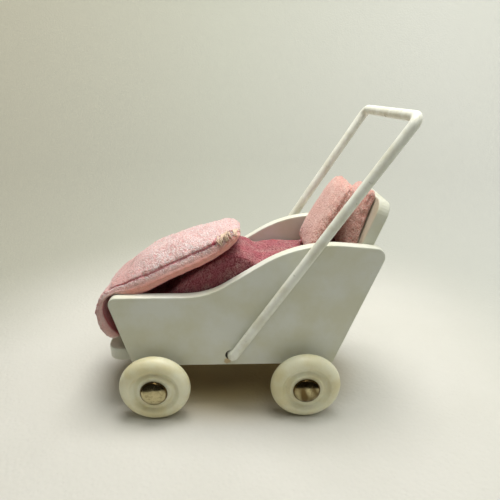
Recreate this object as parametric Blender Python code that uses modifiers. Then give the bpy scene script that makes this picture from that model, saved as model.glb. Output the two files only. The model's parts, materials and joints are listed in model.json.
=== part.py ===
"""Wooden dolls' pushchair with a folding rod handle, four plain wheels and padded bedding.

Metres, +Z up. The front, with its footrest, faces -X and the handle rises towards +X. The
origin is on the ground under the middle of the bounding box. Left is -Y, seen from behind.
"""

import math

import bmesh
import bpy
from mathutils import Matrix, Vector

COLLECTION = "dolls_pushchair"

JOINT_GAP = 0.0003
RUNNING_GAP = 0.0003
SOFT_GAP = 0.0006

# Wheels, axles and the blocks that carry them
WHEEL_DIAMETER = 0.060
WHEEL_WIDTH = 0.0146
WHEEL_SHOULDER = 0.0085
DISH_DEPTH = 0.0028
HUB_FACE_INSET = 0.0008
HUB_FACE_RADIUS = 0.0135
DISH_RADIUS = 0.0172
DISH_FLOOR = 0.0022
HUB_EDGE = 0.0007
BOSS_FILLET = 0.0020
INNER_BOSS_RADIUS = 0.0080
FRONT_AXLE_X = -0.0741
REAR_AXLE_X = 0.0539
AXLE_DIAMETER = 0.005
AXLE_DROP = 0.0120
AXLE_BORE_GAP = 0.0003
AXLE_CHAMFER = 0.0005
WHEEL_TRACK = 0.1176
BLOCK_WIDTH = 0.026
BLOCK_HEIGHT = 0.019
BLOCK_EDGE = 0.0015
WASHER_RADIUS = 0.0065
WASHER_THICKNESS = 0.0010
CAP_RADIUS = 0.0115
CAP_RIM = 0.0012
CAP_RISE = 0.0036
CAP_GRIP = 0.0022
SCREW_SHANK_RADIUS = 0.00175
SCREW_HEAD_RADIUS = 0.0035
SCREW_HEAD_HEIGHT = 0.0018
SCREW_BITE = 0.0085
SCREW_HOLE_GAP = 0.0003
SCREW_INSET = 0.014
SCREW_OFFSET = 0.0078

# Body boards
TUB_WIDTH = 0.072
PANEL_THICKNESS = 0.009
PANEL_EDGE = 0.0009
SHARP_ANGLE = 35.0
PANEL_FRONT_X = -0.0943
PANEL_REAR_X = 0.0791
FRONT_HEIGHT = 0.066
FRONT_LEAN = 15.0
REAR_HEIGHT = 0.1066
REAR_LEAN = 20.1
DIP_X = -0.0292
DIP_RADIUS = 0.062
RAMP_ANGLE = 32.0
SHOULDER_RADIUS = 0.104
REAR_FALL_ANGLE = 5.5
NOSE_RADIUS = 0.007
TAIL_RADIUS = 0.0085
FOOT_CORNER_RADIUS = 0.003
FLOOR_THICKNESS = 0.012
FLOOR_EDGE = 0.0012
FLOOR_REAR_INSET = 0.004
FOOTREST_REACH = 0.0235
FOOTREST_CORNER_RADIUS = 0.011
BACK_THICKNESS = 0.010
BACK_INSET = 0.0108
BACK_TOP_HEIGHT = 0.1430
BACK_CORNER_RADIUS = 0.012
FRONT_CORNER_RADIUS = 0.0027
BOARD_FOOT_RADIUS = 0.0015
FOOT_CUT_SIZE = 0.3
FRONT_BOARD_THICKNESS = 0.008
FRONT_BOARD_INSET = 0.005
FRONT_BOARD_HEIGHT = 0.0465

# Handle of round rod, bent to a U and sprung into a hole in each side panel
ROD_DIAMETER = 0.008
ROD_TO_PANEL = 0.001
PIVOT_X = -0.0087
PIVOT_HEIGHT = 0.0103
HANDLE_REACH = 0.1280
HANDLE_RISE = 0.1970
HANDLE_SPLAY = 0.0112
HANDLE_SKEW = 0.0024
GRIP_BEND_RADIUS = 0.0075
SOCKET_GAP = 0.0006

# Bedding
QUILT_SIDE_GAP = 0.0002
QUILT_OVERLAP = 0.0008
QUILT_SIDE_BULGE = 0.0012
QUILT_CORNER_DRAW = 0.03
FAR_FALL = 0.005
FALL_FRONT_X = -0.1378
FALL_REAR_X = 0.0372
FALL_BLEND = 0.022
MATTRESS_SHOULDER = 0.0035
MATTRESS_TOP_DRAW = 0.02
MATTRESS_SIDE_GAP = 0.0006
MATTRESS_END_GAP = 0.0006
REST_HEIGHT = 0.0255
REST_RISE = 0.0095
BACK_PAD_THICKNESS = 0.0180
BACK_PAD_WIDTH = 0.0640
BACK_PAD_TOP_WIDTH = 0.0440
BACK_PAD_HEIGHT = 0.0585
BACK_PAD_TAPER = 0.20
PILLOW_THICKNESS = 0.0185
PILLOW_WIDTH = 0.0620
PILLOW_TOP_WIDTH = 0.0590
PILLOW_HEIGHT = 0.0700
PILLOW_LEAN = 8.6
PILLOW_AHEAD = 0.0353
PILLOW_FOOT_GAP = 0.0005
SIDE_DRAW = 0.05
CUSHION_SEAM = 0.25

# Facets
WELD = 0.00001
WHEEL_STEPS = 36
SMALL_STEPS = 24
RIM_STEPS = 9
DOME_STEPS = 5
BEND_STEPS = 5
ROD_RESOLUTION = 5
SCREW_STEPS = 16

WHITE_PAINT = ((0.80, 0.79, 0.72), 0.38, 0.0)
ROD_PAINT = ((0.80, 0.80, 0.74), 0.32, 0.0)
BARE_WOOD = ((0.62, 0.47, 0.30), 0.60, 0.0)
IVORY_PLASTIC = ((0.78, 0.74, 0.56), 0.30, 0.0)
CHROME = ((0.62, 0.60, 0.56), 0.12, 1.0)
STEEL = ((0.52, 0.52, 0.52), 0.35, 1.0)
TERRY = ((0.80, 0.46, 0.45), 0.95, 0.0)
DUSTY_TERRY = ((0.66, 0.38, 0.36), 0.95, 0.0)

# Places that follow from the sizes above
WHEEL_RADIUS = WHEEL_DIAMETER / 2
UNDERSIDE = WHEEL_RADIUS + AXLE_DROP
FLOOR_TOP = UNDERSIDE + FLOOR_THICKNESS
FRONT_TOP = UNDERSIDE + FRONT_HEIGHT
HALF_TUB = TUB_WIDTH / 2
HALF_BODY = HALF_TUB + PANEL_THICKNESS
ROD_RADIUS = ROD_DIAMETER / 2
BORE_RADIUS = AXLE_DIAMETER / 2 + RUNNING_GAP
BLOCK_TOP = UNDERSIDE - JOINT_GAP
WHEEL_MIDDLE = WHEEL_TRACK / 2
HUB_FACE = WHEEL_WIDTH / 2 - HUB_FACE_INSET
CAP_BASE = WHEEL_MIDDLE + HUB_FACE + RUNNING_GAP
AXLE_END = CAP_BASE + CAP_GRIP
PIVOT = Vector((PIVOT_X, 0.0, UNDERSIDE + PIVOT_HEIGHT))
ARM_Y = HALF_BODY + ROD_TO_PANEL + ROD_RADIUS
QUILT_WIDTH = TUB_WIDTH - 2 * QUILT_SIDE_GAP
FRONT_SLOPE = math.tan(math.radians(FRONT_LEAN))
REAR_SLOPE = math.tan(math.radians(REAR_LEAN))
BACK_LEAN = math.radians(REAR_LEAN)


def clear_scene():
    """Removes what the file holds, so that the model starts from nothing."""
    for item in list(bpy.data.objects):
        bpy.data.objects.remove(item, do_unlink=True)


def make_collection(name):
    """A new collection in the scene, or the one that has this name."""
    found = bpy.data.collections.get(name) or bpy.data.collections.new(name)
    if found.name not in bpy.context.scene.collection.children:
        bpy.context.scene.collection.children.link(found)
    return found


def make_material(name, finish):
    """A Principled material from a colour, a roughness and a metallic value."""
    material = bpy.data.materials.get(name) or bpy.data.materials.new(name)
    material.use_nodes = True
    shader = material.node_tree.nodes["Principled BSDF"]
    colour, roughness, metallic = finish
    shader.inputs["Base Color"].default_value = (*colour, 1.0)
    shader.inputs["Roughness"].default_value = roughness
    shader.inputs["Metallic"].default_value = metallic
    return material


def add_object(name, data, collection, finish=None):
    """Puts a mesh or a curve in the collection, with its own material."""
    item = bpy.data.objects.new(name, data)
    collection.objects.link(item)
    if finish:
        data.materials.append(make_material(name + "_finish", finish))
    return item


def mesh_from(name, bm):
    """Turns a bmesh into a mesh whose faces point out."""
    bmesh.ops.recalc_face_normals(bm, faces=bm.faces)
    mesh = bpy.data.meshes.new(name)
    bm.to_mesh(mesh)
    bm.free()
    return mesh


def shade_round(item, angle=SHARP_ANGLE):
    """Smooth shading that keeps the edges sharper than the angle."""
    item.data.shade_smooth()
    item.data.set_sharp_from_angle(angle=math.radians(angle))


def ease_edges(item, width, segments=2):
    """Rounds the sharp edges of a board."""
    bevel = item.modifiers.new("eased_edges", "BEVEL")
    bevel.width = width
    bevel.segments = segments
    bevel.limit_method = "ANGLE"
    bevel.angle_limit = math.radians(40.0)
    return bevel


def cut(item, cutter):
    """Subtracts a cutter from a part."""
    boolean = item.modifiers.new("cut_" + cutter.name, "BOOLEAN")
    boolean.operation = "DIFFERENCE"
    boolean.object = cutter
    boolean.solver = "EXACT"


def cylinder_mesh(name, radius, length, steps):
    """A closed cylinder along Z about the origin."""
    bm = bmesh.new()
    bmesh.ops.create_cone(bm, cap_ends=True, segments=steps, radius1=radius, radius2=radius,
                          depth=length)
    return mesh_from(name, bm)


def make_cutter(name, mesh, location, rotation, cutters):
    """A hidden object that only cuts others."""
    cutter = add_object(name, mesh, cutters)
    cutter.location = location
    cutter.rotation_euler = rotation
    cutter.hide_render = True
    cutter.display_type = "WIRE"
    return cutter


def box_object(name, size, centre, collection, finish):
    """A box with its origin at its centre."""
    bm = bmesh.new()
    bmesh.ops.create_cube(bm, size=1.0)
    bmesh.ops.scale(bm, vec=Vector(size), verts=bm.verts)
    item = add_object(name, mesh_from(name, bm), collection, finish)
    item.location = centre
    return item


def meeting_point(point_a, slope_a, point_b, slope_b):
    """Where two lines of an XZ outline cross, each given by a point and its rise over run."""
    x = (point_b[1] - point_a[1] + slope_a * point_a[0] - slope_b * point_b[0]) / (slope_a - slope_b)
    return (x, point_a[1] + slope_a * (x - point_a[0]))


def rounded_corner(before, corner, after, radius, steps):
    """The arc that rounds one corner of a path, in two or three dimensions."""
    back = (before - corner).normalized()
    ahead = (after - corner).normalized()
    half = back.angle(ahead) / 2
    tangent = radius / math.tan(half)
    centre = corner + (back + ahead).normalized() * (radius / math.sin(half))
    start = corner + back * tangent - centre
    sweep = math.pi - 2 * half
    side = (corner + ahead * tangent - centre) - start * math.cos(sweep)
    side = side.normalized() * radius
    turns = [sweep * i / steps for i in range(steps + 1)]
    return [centre + start * math.cos(turn) + side * math.sin(turn) for turn in turns]


def rounded_outline(corners):
    """A closed outline from corners, each (point, radius, steps)."""
    points = []
    count = len(corners)
    for i, (corner, radius, steps) in enumerate(corners):
        before = Vector(corners[i - 1][0])
        after = Vector(corners[(i + 1) % count][0])
        points += rounded_corner(before, Vector(corner), after, radius, steps)
    return points


def plate_mesh(name, outline, thickness):
    """A flat board: the outline in the local XY plane, thick along Z, centred on it."""
    curve = bpy.data.curves.new(name, "CURVE")
    curve.dimensions = "2D"
    curve.fill_mode = "BOTH"
    curve.extrude = thickness / 2
    spline = curve.splines.new("POLY")
    spline.points.add(len(outline) - 1)
    for point, place in zip(spline.points, outline):
        point.co = (place[0], place[1], 0.0, 1.0)
    spline.use_cyclic_u = True
    drawn = bpy.data.objects.new(name + "_outline", curve)
    bpy.context.scene.collection.objects.link(drawn)
    seen = drawn.evaluated_get(bpy.context.evaluated_depsgraph_get())
    mesh = bpy.data.meshes.new_from_object(seen)
    bpy.data.objects.remove(drawn, do_unlink=True)
    bpy.data.curves.remove(curve)
    bm = bmesh.new()
    bm.from_mesh(mesh)
    bpy.data.meshes.remove(mesh)
    bmesh.ops.remove_doubles(bm, verts=bm.verts, dist=WELD)
    bmesh.ops.dissolve_limit(bm, angle_limit=math.radians(0.5), verts=bm.verts, edges=bm.edges)
    return mesh_from(name, bm)


def turned_object(name, profile, closed, steps, collection, finish):
    """A turned piece about local Z, from a profile of (radius, height) pairs."""
    bm = bmesh.new()
    verts = [bm.verts.new((radius, 0.0, height)) for radius, height in profile]
    for first, second in zip(verts, verts[1:]):
        bm.edges.new((first, second))
    if closed:
        bm.edges.new((verts[-1], verts[0]))
    mesh = bpy.data.meshes.new(name)
    bm.to_mesh(mesh)
    bm.free()
    item = add_object(name, mesh, collection, finish)
    screw = item.modifiers.new("turned", "SCREW")
    screw.axis = "Z"
    screw.steps = steps
    screw.render_steps = steps
    screw.use_merge_vertices = True
    screw.merge_threshold = WELD
    screw.use_smooth_shade = True
    return item


def aim_outwards(item, side, x, y, z):
    """Stands a turned piece on the axle line, its local Z pointing away from the body."""
    item.location = (x, side * y, z)
    item.rotation_euler = (-side * math.pi / 2, 0.0, 0.0)


def smooth_through(places, share):
    """A point at a share of the way along a smooth curve through places (Catmull-Rom)."""
    last = len(places) - 1
    at = min(max(share, 0.0), 1.0) * last
    i = min(int(at), last - 1)
    t = at - i
    p1 = Vector(places[i])
    p2 = Vector(places[i + 1])
    p0 = Vector(places[i - 1]) if i > 0 else p1 * 2 - p2
    p3 = Vector(places[i + 2]) if i + 2 <= last else p2 * 2 - p1
    bend = (p0 * 2 - p1 * 5 + p2 * 4 - p3) * t * t
    twist = (p1 * 3 - p0 - p2 * 3 + p3) * t * t * t
    return (p1 * 2 + (p2 - p0) * t + bend + twist) / 2


def box_cage(cuts):
    """A cube from -1 to 1 whose edges along X, Y and Z have these numbers of cuts."""
    bm = bmesh.new()
    bmesh.ops.create_cube(bm, size=2.0)
    for axis, count in enumerate(cuts):
        along = [edge for edge in bm.edges if edge.verts[0].co[axis] * edge.verts[1].co[axis] < 0]
        bmesh.ops.subdivide_edges(bm, edges=along, cuts=count, use_grid_fill=True)
    return bm


def soft_object(name, cuts, shape, collection, finish):
    """A cushion: a cage bent into shape by a function of its place, then subdivided."""
    bm = box_cage(cuts)
    for vert in bm.verts:
        vert.co = shape(*vert.co)
    item = add_object(name, mesh_from(name, bm), collection, finish)
    rounding = item.modifiers.new("rounding", "SUBSURF")
    rounding.levels = 1
    rounding.render_levels = 1
    item.data.shade_smooth()
    return item


def panel_line_front(height):
    """X of the side panels' front edge at a height above their underside."""
    return PANEL_FRONT_X - FRONT_SLOPE * height


def panel_line_rear(height):
    """X of the side panels' rear edge at a height above their underside."""
    return PANEL_REAR_X + REAR_SLOPE * height


def panel_outline():
    """The side panel: a low flat front, a swept ramp and a high shoulder that falls gently."""
    ramp_slope = math.tan(math.radians(RAMP_ANGLE))
    fall_slope = -math.tan(math.radians(REAR_FALL_ANGLE))
    dip = (DIP_X, FRONT_HEIGHT)
    tail = (panel_line_rear(REAR_HEIGHT), REAR_HEIGHT)
    shoulder = meeting_point(dip, ramp_slope, tail, fall_slope)
    return rounded_outline([
        ((PANEL_FRONT_X, 0.0), FOOT_CORNER_RADIUS, 3),
        ((PANEL_REAR_X, 0.0), FOOT_CORNER_RADIUS, 3),
        (tail, TAIL_RADIUS, 7),
        (shoulder, SHOULDER_RADIUS, 12),
        (dip, DIP_RADIUS, 9),
        ((panel_line_front(FRONT_HEIGHT), FRONT_HEIGHT), NOSE_RADIUS, 7),
    ])


def build_side_panels(parts, cutters):
    """Two upright boards that carry the floor, the back and the handle."""
    hole = cylinder_mesh("handle_socket", ROD_RADIUS + SOCKET_GAP, PANEL_THICKNESS * 3, SMALL_STEPS)
    for side, name in ((-1, "side_panel_left"), (1, "side_panel_right")):
        panel = add_object(name, plate_mesh(name, panel_outline(), PANEL_THICKNESS), parts,
                           WHITE_PAINT)
        middle = side * (HALF_TUB + PANEL_THICKNESS / 2)
        panel.location = (0.0, middle, UNDERSIDE)
        panel.rotation_euler = (math.pi / 2, 0.0, 0.0)
        ease_edges(panel, PANEL_EDGE)
        place = (PIVOT.x, middle, PIVOT.z)
        cut(panel, make_cutter(name + "_socket", hole, place, (math.pi / 2, 0.0, 0.0), cutters))
        shade_round(panel)


def screw_places():
    """Centre lines of the block screws: two to a block, one each side of the axle."""
    return [(end, side, axle_x + side * SCREW_OFFSET, side * (HALF_TUB - SCREW_INSET))
            for end, axle_x in (("front", FRONT_AXLE_X), ("rear", REAR_AXLE_X))
            for side in (-1, 1)]


def build_floor_board(parts, cutters):
    """The floor between the panels, which sticks out in front as a footrest."""
    half = HALF_TUB - JOINT_GAP
    front = PANEL_FRONT_X - FOOTREST_REACH
    rear = PANEL_REAR_X - FLOOR_REAR_INSET
    outline = rounded_outline([
        ((front, -half), FOOTREST_CORNER_RADIUS, 7),
        ((rear, -half), FOOT_CORNER_RADIUS, 2),
        ((rear, half), FOOT_CORNER_RADIUS, 2),
        ((front, half), FOOTREST_CORNER_RADIUS, 7),
    ])
    floor = add_object("floor_board", plate_mesh("floor_board", outline, FLOOR_THICKNESS), parts,
                       WHITE_PAINT)
    floor.location = (0.0, 0.0, UNDERSIDE + FLOOR_THICKNESS / 2)
    ease_edges(floor, FLOOR_EDGE)
    hole = cylinder_mesh("screw_pilot", SCREW_SHANK_RADIUS + SCREW_HOLE_GAP, 2 * SCREW_BITE,
                         SCREW_STEPS)
    for end, side, x, y in screw_places():
        name = f"{end}_pilot_{'left' if side < 0 else 'right'}"
        cut(floor, make_cutter(name, hole, (x, y, UNDERSIDE), (0.0, 0.0, 0.0), cutters))
    shade_round(floor)


def foot_of_board(item, low, cutters):
    """Cuts a leaning board off level at a height, so that it stands flat on the floor."""
    bm = bmesh.new()
    bmesh.ops.create_cube(bm, size=FOOT_CUT_SIZE)
    place = (item.location.x, 0.0, low - FOOT_CUT_SIZE / 2)
    cut(item, make_cutter(item.name + "_foot", mesh_from(item.name + "_foot", bm), place,
                          (0.0, 0.0, 0.0), cutters))


def leaning_board(name, run, thickness, corner_radius, steps, collection):
    """A board with rounded top corners in its own plane, its foot at the local origin."""
    half = HALF_TUB - JOINT_GAP
    outline = rounded_outline([
        ((-half, -thickness), BOARD_FOOT_RADIUS, 2),
        ((half, -thickness), BOARD_FOOT_RADIUS, 2),
        ((half, run), corner_radius, steps),
        ((-half, run), corner_radius, steps),
    ])
    board = add_object(name, plate_mesh(name, outline, thickness), collection, WHITE_PAINT)
    ease_edges(board, PANEL_EDGE)
    return board


def back_face_x(height):
    """X of the back board's rear face at a height above the underside."""
    return panel_line_rear(height) - BACK_INSET


def build_back_board(parts, cutters):
    """The leaning back, parallel to the panels' rear edges and standing on the floor."""
    lean = BACK_LEAN
    rear_top = BACK_TOP_HEIGHT - BACK_THICKNESS * math.sin(lean)
    run = (rear_top - FLOOR_THICKNESS) / math.cos(lean)
    board = leaning_board("back_board", run, BACK_THICKNESS, BACK_CORNER_RADIUS, 7, parts)
    inwards = BACK_THICKNESS / 2
    board.location = (back_face_x(FLOOR_THICKNESS) - inwards * math.cos(lean), 0.0,
                      FLOOR_TOP + inwards * math.sin(lean))
    board.matrix_world = (Matrix.Translation(board.location)
                          @ Matrix.Rotation(lean, 4, "Y")
                          @ Matrix.Rotation(math.pi / 2, 4, "Z")
                          @ Matrix.Rotation(math.pi / 2, 4, "X"))
    foot_of_board(board, FLOOR_TOP + JOINT_GAP, cutters)
    shade_round(board)


def build_front_board(parts, cutters):
    """The low front that closes the tub behind the quilt, leaning with the panels' noses."""
    lean = -math.radians(FRONT_LEAN)
    run = FRONT_BOARD_HEIGHT / math.cos(lean)
    board = leaning_board("front_board", run, FRONT_BOARD_THICKNESS, FRONT_CORNER_RADIUS, 2, parts)
    inset = FRONT_BOARD_INSET + FRONT_BOARD_THICKNESS / 2
    place = Vector((panel_line_front(FLOOR_THICKNESS) + inset / math.cos(lean), 0.0, FLOOR_TOP))
    board.matrix_world = (Matrix.Translation(place)
                          @ Matrix.Rotation(lean, 4, "Y")
                          @ Matrix.Rotation(math.pi / 2, 4, "Z")
                          @ Matrix.Rotation(math.pi / 2, 4, "X"))
    foot_of_board(board, FLOOR_TOP + JOINT_GAP, cutters)
    shade_round(board)


def build_axle_blocks(parts, cutters):
    """Two wooden bearers under the floor, bored for the axles and for their screws."""
    length = 2 * HALF_BODY
    bore = cylinder_mesh("axle_bore", AXLE_DIAMETER / 2 + AXLE_BORE_GAP, length * 2, SMALL_STEPS)
    hole = cylinder_mesh("screw_hole", SCREW_SHANK_RADIUS + SCREW_HOLE_GAP, BLOCK_HEIGHT * 4,
                         SCREW_STEPS)
    for end, axle_x in (("front", FRONT_AXLE_X), ("rear", REAR_AXLE_X)):
        name = end + "_axle_block"
        centre = (axle_x, 0.0, BLOCK_TOP - BLOCK_HEIGHT / 2)
        block = box_object(name, (BLOCK_WIDTH, length, BLOCK_HEIGHT), centre, parts, BARE_WOOD)
        ease_edges(block, BLOCK_EDGE)
        axle_line = (axle_x, 0.0, WHEEL_RADIUS)
        cut(block, make_cutter(name + "_bore", bore, axle_line, (math.pi / 2, 0.0, 0.0), cutters))
        for screw_end, side, x, y in screw_places():
            if screw_end == end:
                hole_name = f"{name}_hole_{'left' if side < 0 else 'right'}"
                cut(block, make_cutter(hole_name, hole, (x, y, BLOCK_TOP), (0.0, 0.0, 0.0), cutters))
        shade_round(block)


def build_screws(parts):
    """Round-headed wood screws that hold the blocks to the floor from below."""
    seat = BLOCK_TOP - BLOCK_HEIGHT - JOINT_GAP
    shank = BLOCK_HEIGHT + 2 * JOINT_GAP + SCREW_BITE - SCREW_HOLE_GAP
    point = 2 * SCREW_SHANK_RADIUS
    profile = [(0.0, shank), (SCREW_SHANK_RADIUS, shank - point), (SCREW_SHANK_RADIUS, 0.0),
               (SCREW_HEAD_RADIUS, 0.0)]
    for i in range(1, DOME_STEPS - 1):
        turn = math.pi / 2 * i / (DOME_STEPS - 1)
        profile.append((SCREW_HEAD_RADIUS * math.cos(turn), -SCREW_HEAD_HEIGHT * math.sin(turn)))
    profile.append((0.0, -SCREW_HEAD_HEIGHT))
    for end, side, x, y in screw_places():
        name = f"{end}_block_screw_{'left' if side < 0 else 'right'}"
        screw = turned_object(name, profile, False, SCREW_STEPS, parts, STEEL)
        screw.location = (x, y, seat)


def build_axles(parts):
    """Two straight steel axles through the blocks, each long enough to grip its caps."""
    for end, axle_x in (("front", FRONT_AXLE_X), ("rear", REAR_AXLE_X)):
        name = end + "_axle"
        mesh = cylinder_mesh(name, AXLE_DIAMETER / 2, 2 * AXLE_END, SMALL_STEPS)
        axle = add_object(name, mesh, parts, STEEL)
        axle.location = (axle_x, 0.0, WHEEL_RADIUS)
        axle.rotation_euler = (math.pi / 2, 0.0, 0.0)
        ease_edges(axle, AXLE_CHAMFER, 1)
        shade_round(axle)


def wheel_profile():
    """Half section of a wheel: full round rim, shallow dish, hub face and a long inner boss."""
    half = WHEEL_WIDTH / 2
    crest = WHEEL_RADIUS - WHEEL_SHOULDER
    boss_end = WHEEL_MIDDLE - (HALF_BODY + WASHER_THICKNESS + 2 * RUNNING_GAP)
    dish = half - DISH_DEPTH
    profile = [(BORE_RADIUS, HUB_FACE), (HUB_FACE_RADIUS - HUB_EDGE, HUB_FACE),
               (HUB_FACE_RADIUS, HUB_FACE - HUB_EDGE), (DISH_RADIUS - DISH_FLOOR, dish),
               (DISH_RADIUS, dish)]
    for i in range(RIM_STEPS):
        turn = math.pi / 2 - math.pi * i / (RIM_STEPS - 1)
        profile.append((crest + WHEEL_SHOULDER * math.cos(turn), half * math.sin(turn)))
    profile += [(DISH_RADIUS, -dish), (INNER_BOSS_RADIUS + BOSS_FILLET, -dish),
                (INNER_BOSS_RADIUS, -dish - BOSS_FILLET), (INNER_BOSS_RADIUS, -boss_end),
                (BORE_RADIUS, -boss_end)]
    return profile


def build_wheels(parts):
    """Four moulded wheels that turn freely on the axles."""
    profile = wheel_profile()
    for end, side, axle_x in wheel_places():
        name = f"{end}_wheel_{'left' if side < 0 else 'right'}"
        wheel = turned_object(name, profile, True, WHEEL_STEPS, parts, IVORY_PLASTIC)
        aim_outwards(wheel, side, axle_x, WHEEL_MIDDLE, WHEEL_RADIUS)


def wheel_places():
    """End, side and axle line of each wheel."""
    return [(end, side, axle_x) for end, axle_x in (("front", FRONT_AXLE_X), ("rear", REAR_AXLE_X))
            for side in (-1, 1)]


def build_caps(parts):
    """Domed chrome caps pressed on the axle ends, which keep the wheels on."""
    bore = AXLE_DIAMETER / 2 + JOINT_GAP
    profile = [(0.0, CAP_RIM + CAP_RISE)]
    for i in range(1, DOME_STEPS + 1):
        turn = math.pi / 2 * (1 - i / DOME_STEPS)
        profile.append((CAP_RADIUS * math.cos(turn), CAP_RIM + CAP_RISE * math.sin(turn)))
    profile += [(CAP_RADIUS, 0.0), (bore, 0.0), (bore, CAP_GRIP + JOINT_GAP),
                (0.0, CAP_GRIP + JOINT_GAP)]
    for end, side, axle_x in wheel_places():
        name = f"{end}_cap_{'left' if side < 0 else 'right'}"
        cap = turned_object(name, profile, False, SMALL_STEPS, parts, CHROME)
        aim_outwards(cap, side, axle_x, CAP_BASE, WHEEL_RADIUS)


def build_washers(parts):
    """Flat washers between the blocks' ends and the wheels' inner bosses."""
    profile = [(BORE_RADIUS, WASHER_THICKNESS), (WASHER_RADIUS, WASHER_THICKNESS),
               (WASHER_RADIUS, 0.0), (BORE_RADIUS, 0.0)]
    for end, side, axle_x in wheel_places():
        name = f"{end}_washer_{'left' if side < 0 else 'right'}"
        washer = turned_object(name, profile, True, SMALL_STEPS, parts, STEEL)
        aim_outwards(washer, side, axle_x, HALF_BODY + RUNNING_GAP, WHEEL_RADIUS)


def handle_path():
    """Centre line of the rod: in through one panel, up one arm, across the grip and down again."""
    tip = HALF_TUB + JOINT_GAP
    grip = ARM_Y + HANDLE_SPLAY
    foot_bend = ARM_Y - HALF_BODY
    arm = Vector((HANDLE_REACH, 0.0, HANDLE_RISE))
    skew = arm.normalized() * HANDLE_SKEW
    corners = [Vector((0.0, -tip, 0.0)), Vector((0.0, -ARM_Y, 0.0)),
               arm + skew - Vector((0.0, grip, 0.0)),
               arm - skew + Vector((0.0, grip, 0.0)),
               Vector((0.0, ARM_Y, 0.0)), Vector((0.0, tip, 0.0))]
    radii = [foot_bend, GRIP_BEND_RADIUS, GRIP_BEND_RADIUS, foot_bend]
    path = [corners[0]]
    for i, radius in enumerate(radii):
        path += rounded_corner(corners[i], corners[i + 1], corners[i + 2], radius, BEND_STEPS)
    return path + [corners[-1]]


def build_handle(parts):
    """A U of painted rod, spread and a little askew at the grip, pivoting on its bent-in ends."""
    curve = bpy.data.curves.new("handle", "CURVE")
    curve.dimensions = "3D"
    curve.bevel_depth = ROD_RADIUS
    curve.bevel_resolution = ROD_RESOLUTION
    curve.use_fill_caps = True
    path = handle_path()
    spline = curve.splines.new("POLY")
    spline.points.add(len(path) - 1)
    for point, place in zip(spline.points, path):
        point.co = (*place, 1.0)
    spline.use_smooth = True
    handle = add_object("handle", curve, parts, ROD_PAINT)
    handle.location = PIVOT


# The mattress top from front to rear: X, then height above the front tops of the panels
MATTRESS_LINE = ((-0.0978, -0.0120), (-0.0778, -0.0082), (-0.0648, -0.0030), (-0.0528, 0.0069),
                 (-0.0398, 0.0173), (-0.0248, 0.0276), (-0.0098, 0.0351), (0.0062, 0.0338),
                 (0.0222, 0.0272), (0.0472, REST_HEIGHT), (0.0722, REST_HEIGHT),
                 (0.1022, REST_HEIGHT + REST_RISE))

# The quilt from its upper end to its hanging hem: X and height of its underside above the
# front tops of the panels, height of its sewn side, and the rise of its crown
QUILT_LINE = ((0.0002, 0.0440, 0.0040, 0.0010), (-0.0108, 0.0370, 0.0098, 0.0040),
              (-0.0298, 0.0258, 0.0120, 0.0080), (-0.0528, 0.0155, 0.0115, 0.0095),
              (-0.0728, 0.0075, 0.0105, 0.0080), (-0.0908, 0.0020, 0.0090, 0.0035),
              (-0.1043, 0.0004, 0.0066, 0.0004), (-0.1138, -0.0060, 0.0050, 0.0000),
              (-0.1163, -0.0180, 0.0065, 0.0005), (-0.1118, -0.0310, 0.0100, 0.0020),
              (-0.1038, -0.0400, 0.0080, 0.0020))


def far_fall(x):
    """How much lower the bedding lies at the right panel than at the left, at a place in X."""
    rise = min(max((x - FALL_FRONT_X) / FALL_BLEND, 0.0), 1.0)
    drop = min(max((FALL_REAR_X - x) / FALL_BLEND, 0.0), 1.0)
    return FAR_FALL * min(rise, drop)


def build_mattress(parts):
    """A thick seat cushion that fills the tub, with a hump under the quilt and a hollow seat."""
    half = HALF_TUB - MATTRESS_SIDE_GAP

    def shape(u, v, w):
        share = (u + 1) / 2
        line = smooth_through(MATTRESS_LINE, share)
        top = FRONT_TOP + line.y - MATTRESS_SHOULDER * abs(v) ** 3 - far_fall(line.x) * (v + 1) / 2
        rise = (w + 1) / 2
        z = FLOOR_TOP + JOINT_GAP + rise * (top - FLOOR_TOP - JOINT_GAP)
        height = z - UNDERSIDE
        front = front_board_rear_x(height) + MATTRESS_END_GAP
        rear = back_board_front_x(height) - MATTRESS_END_GAP
        to_front = (front - MATTRESS_LINE[0][0]) * (1 - share) ** 3
        to_rear = (rear - MATTRESS_LINE[-1][0]) * share ** 3
        y = v * half * (1 - MATTRESS_TOP_DRAW * rise)
        return Vector((line.x + to_front + to_rear, y, z))

    soft_object("mattress", (10, 3, 2), shape, parts, DUSTY_TERRY)


def front_board_rear_x(height):
    """X of the front board's inner face at a height above the underside."""
    through = (FRONT_BOARD_INSET + FRONT_BOARD_THICKNESS) / math.cos(math.radians(FRONT_LEAN))
    return panel_line_front(height) + through


def back_board_front_x(height):
    """X of the back board's front face at a height above the underside."""
    return back_face_x(height) - BACK_THICKNESS / math.cos(BACK_LEAN)


def build_quilt(parts):
    """A padded quilt that lies down the mattress and hangs over the front to the footrest."""
    half = QUILT_WIDTH / 2
    middle = half - HALF_TUB - QUILT_OVERLAP

    def line_at(share):
        place = smooth_through([row[:3] for row in QUILT_LINE], share)
        crown = smooth_through([(row[3], 0.0) for row in QUILT_LINE], share).x
        return Vector((place.x, 0.0, FRONT_TOP + place.y)), place.z, crown

    def shape(u, v, w):
        share = (1 - u) / 2
        under, side, crown = line_at(share)
        ahead = line_at(min(share + 0.01, 1.0))[0] - line_at(max(share - 0.01, 0.0))[0]
        outwards = Vector((ahead.z, 0.0, -ahead.x)).normalized()
        rise = (w + 1) / 2
        thick = side + crown * (1 - v * v) ** 0.75 if rise > 0 else side
        bulge = QUILT_SIDE_BULGE * (1 - w * w)
        y = middle + v * (half + bulge) * (1 - QUILT_CORNER_DRAW * (2 * share - 1) ** 8)
        fall = far_fall(under.x) * (v + 1) / 2
        return under + outwards * thick * rise + Vector((0.0, y, -fall))

    soft_object("quilt", (13, 5, 1), shape, parts, TERRY)


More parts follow.
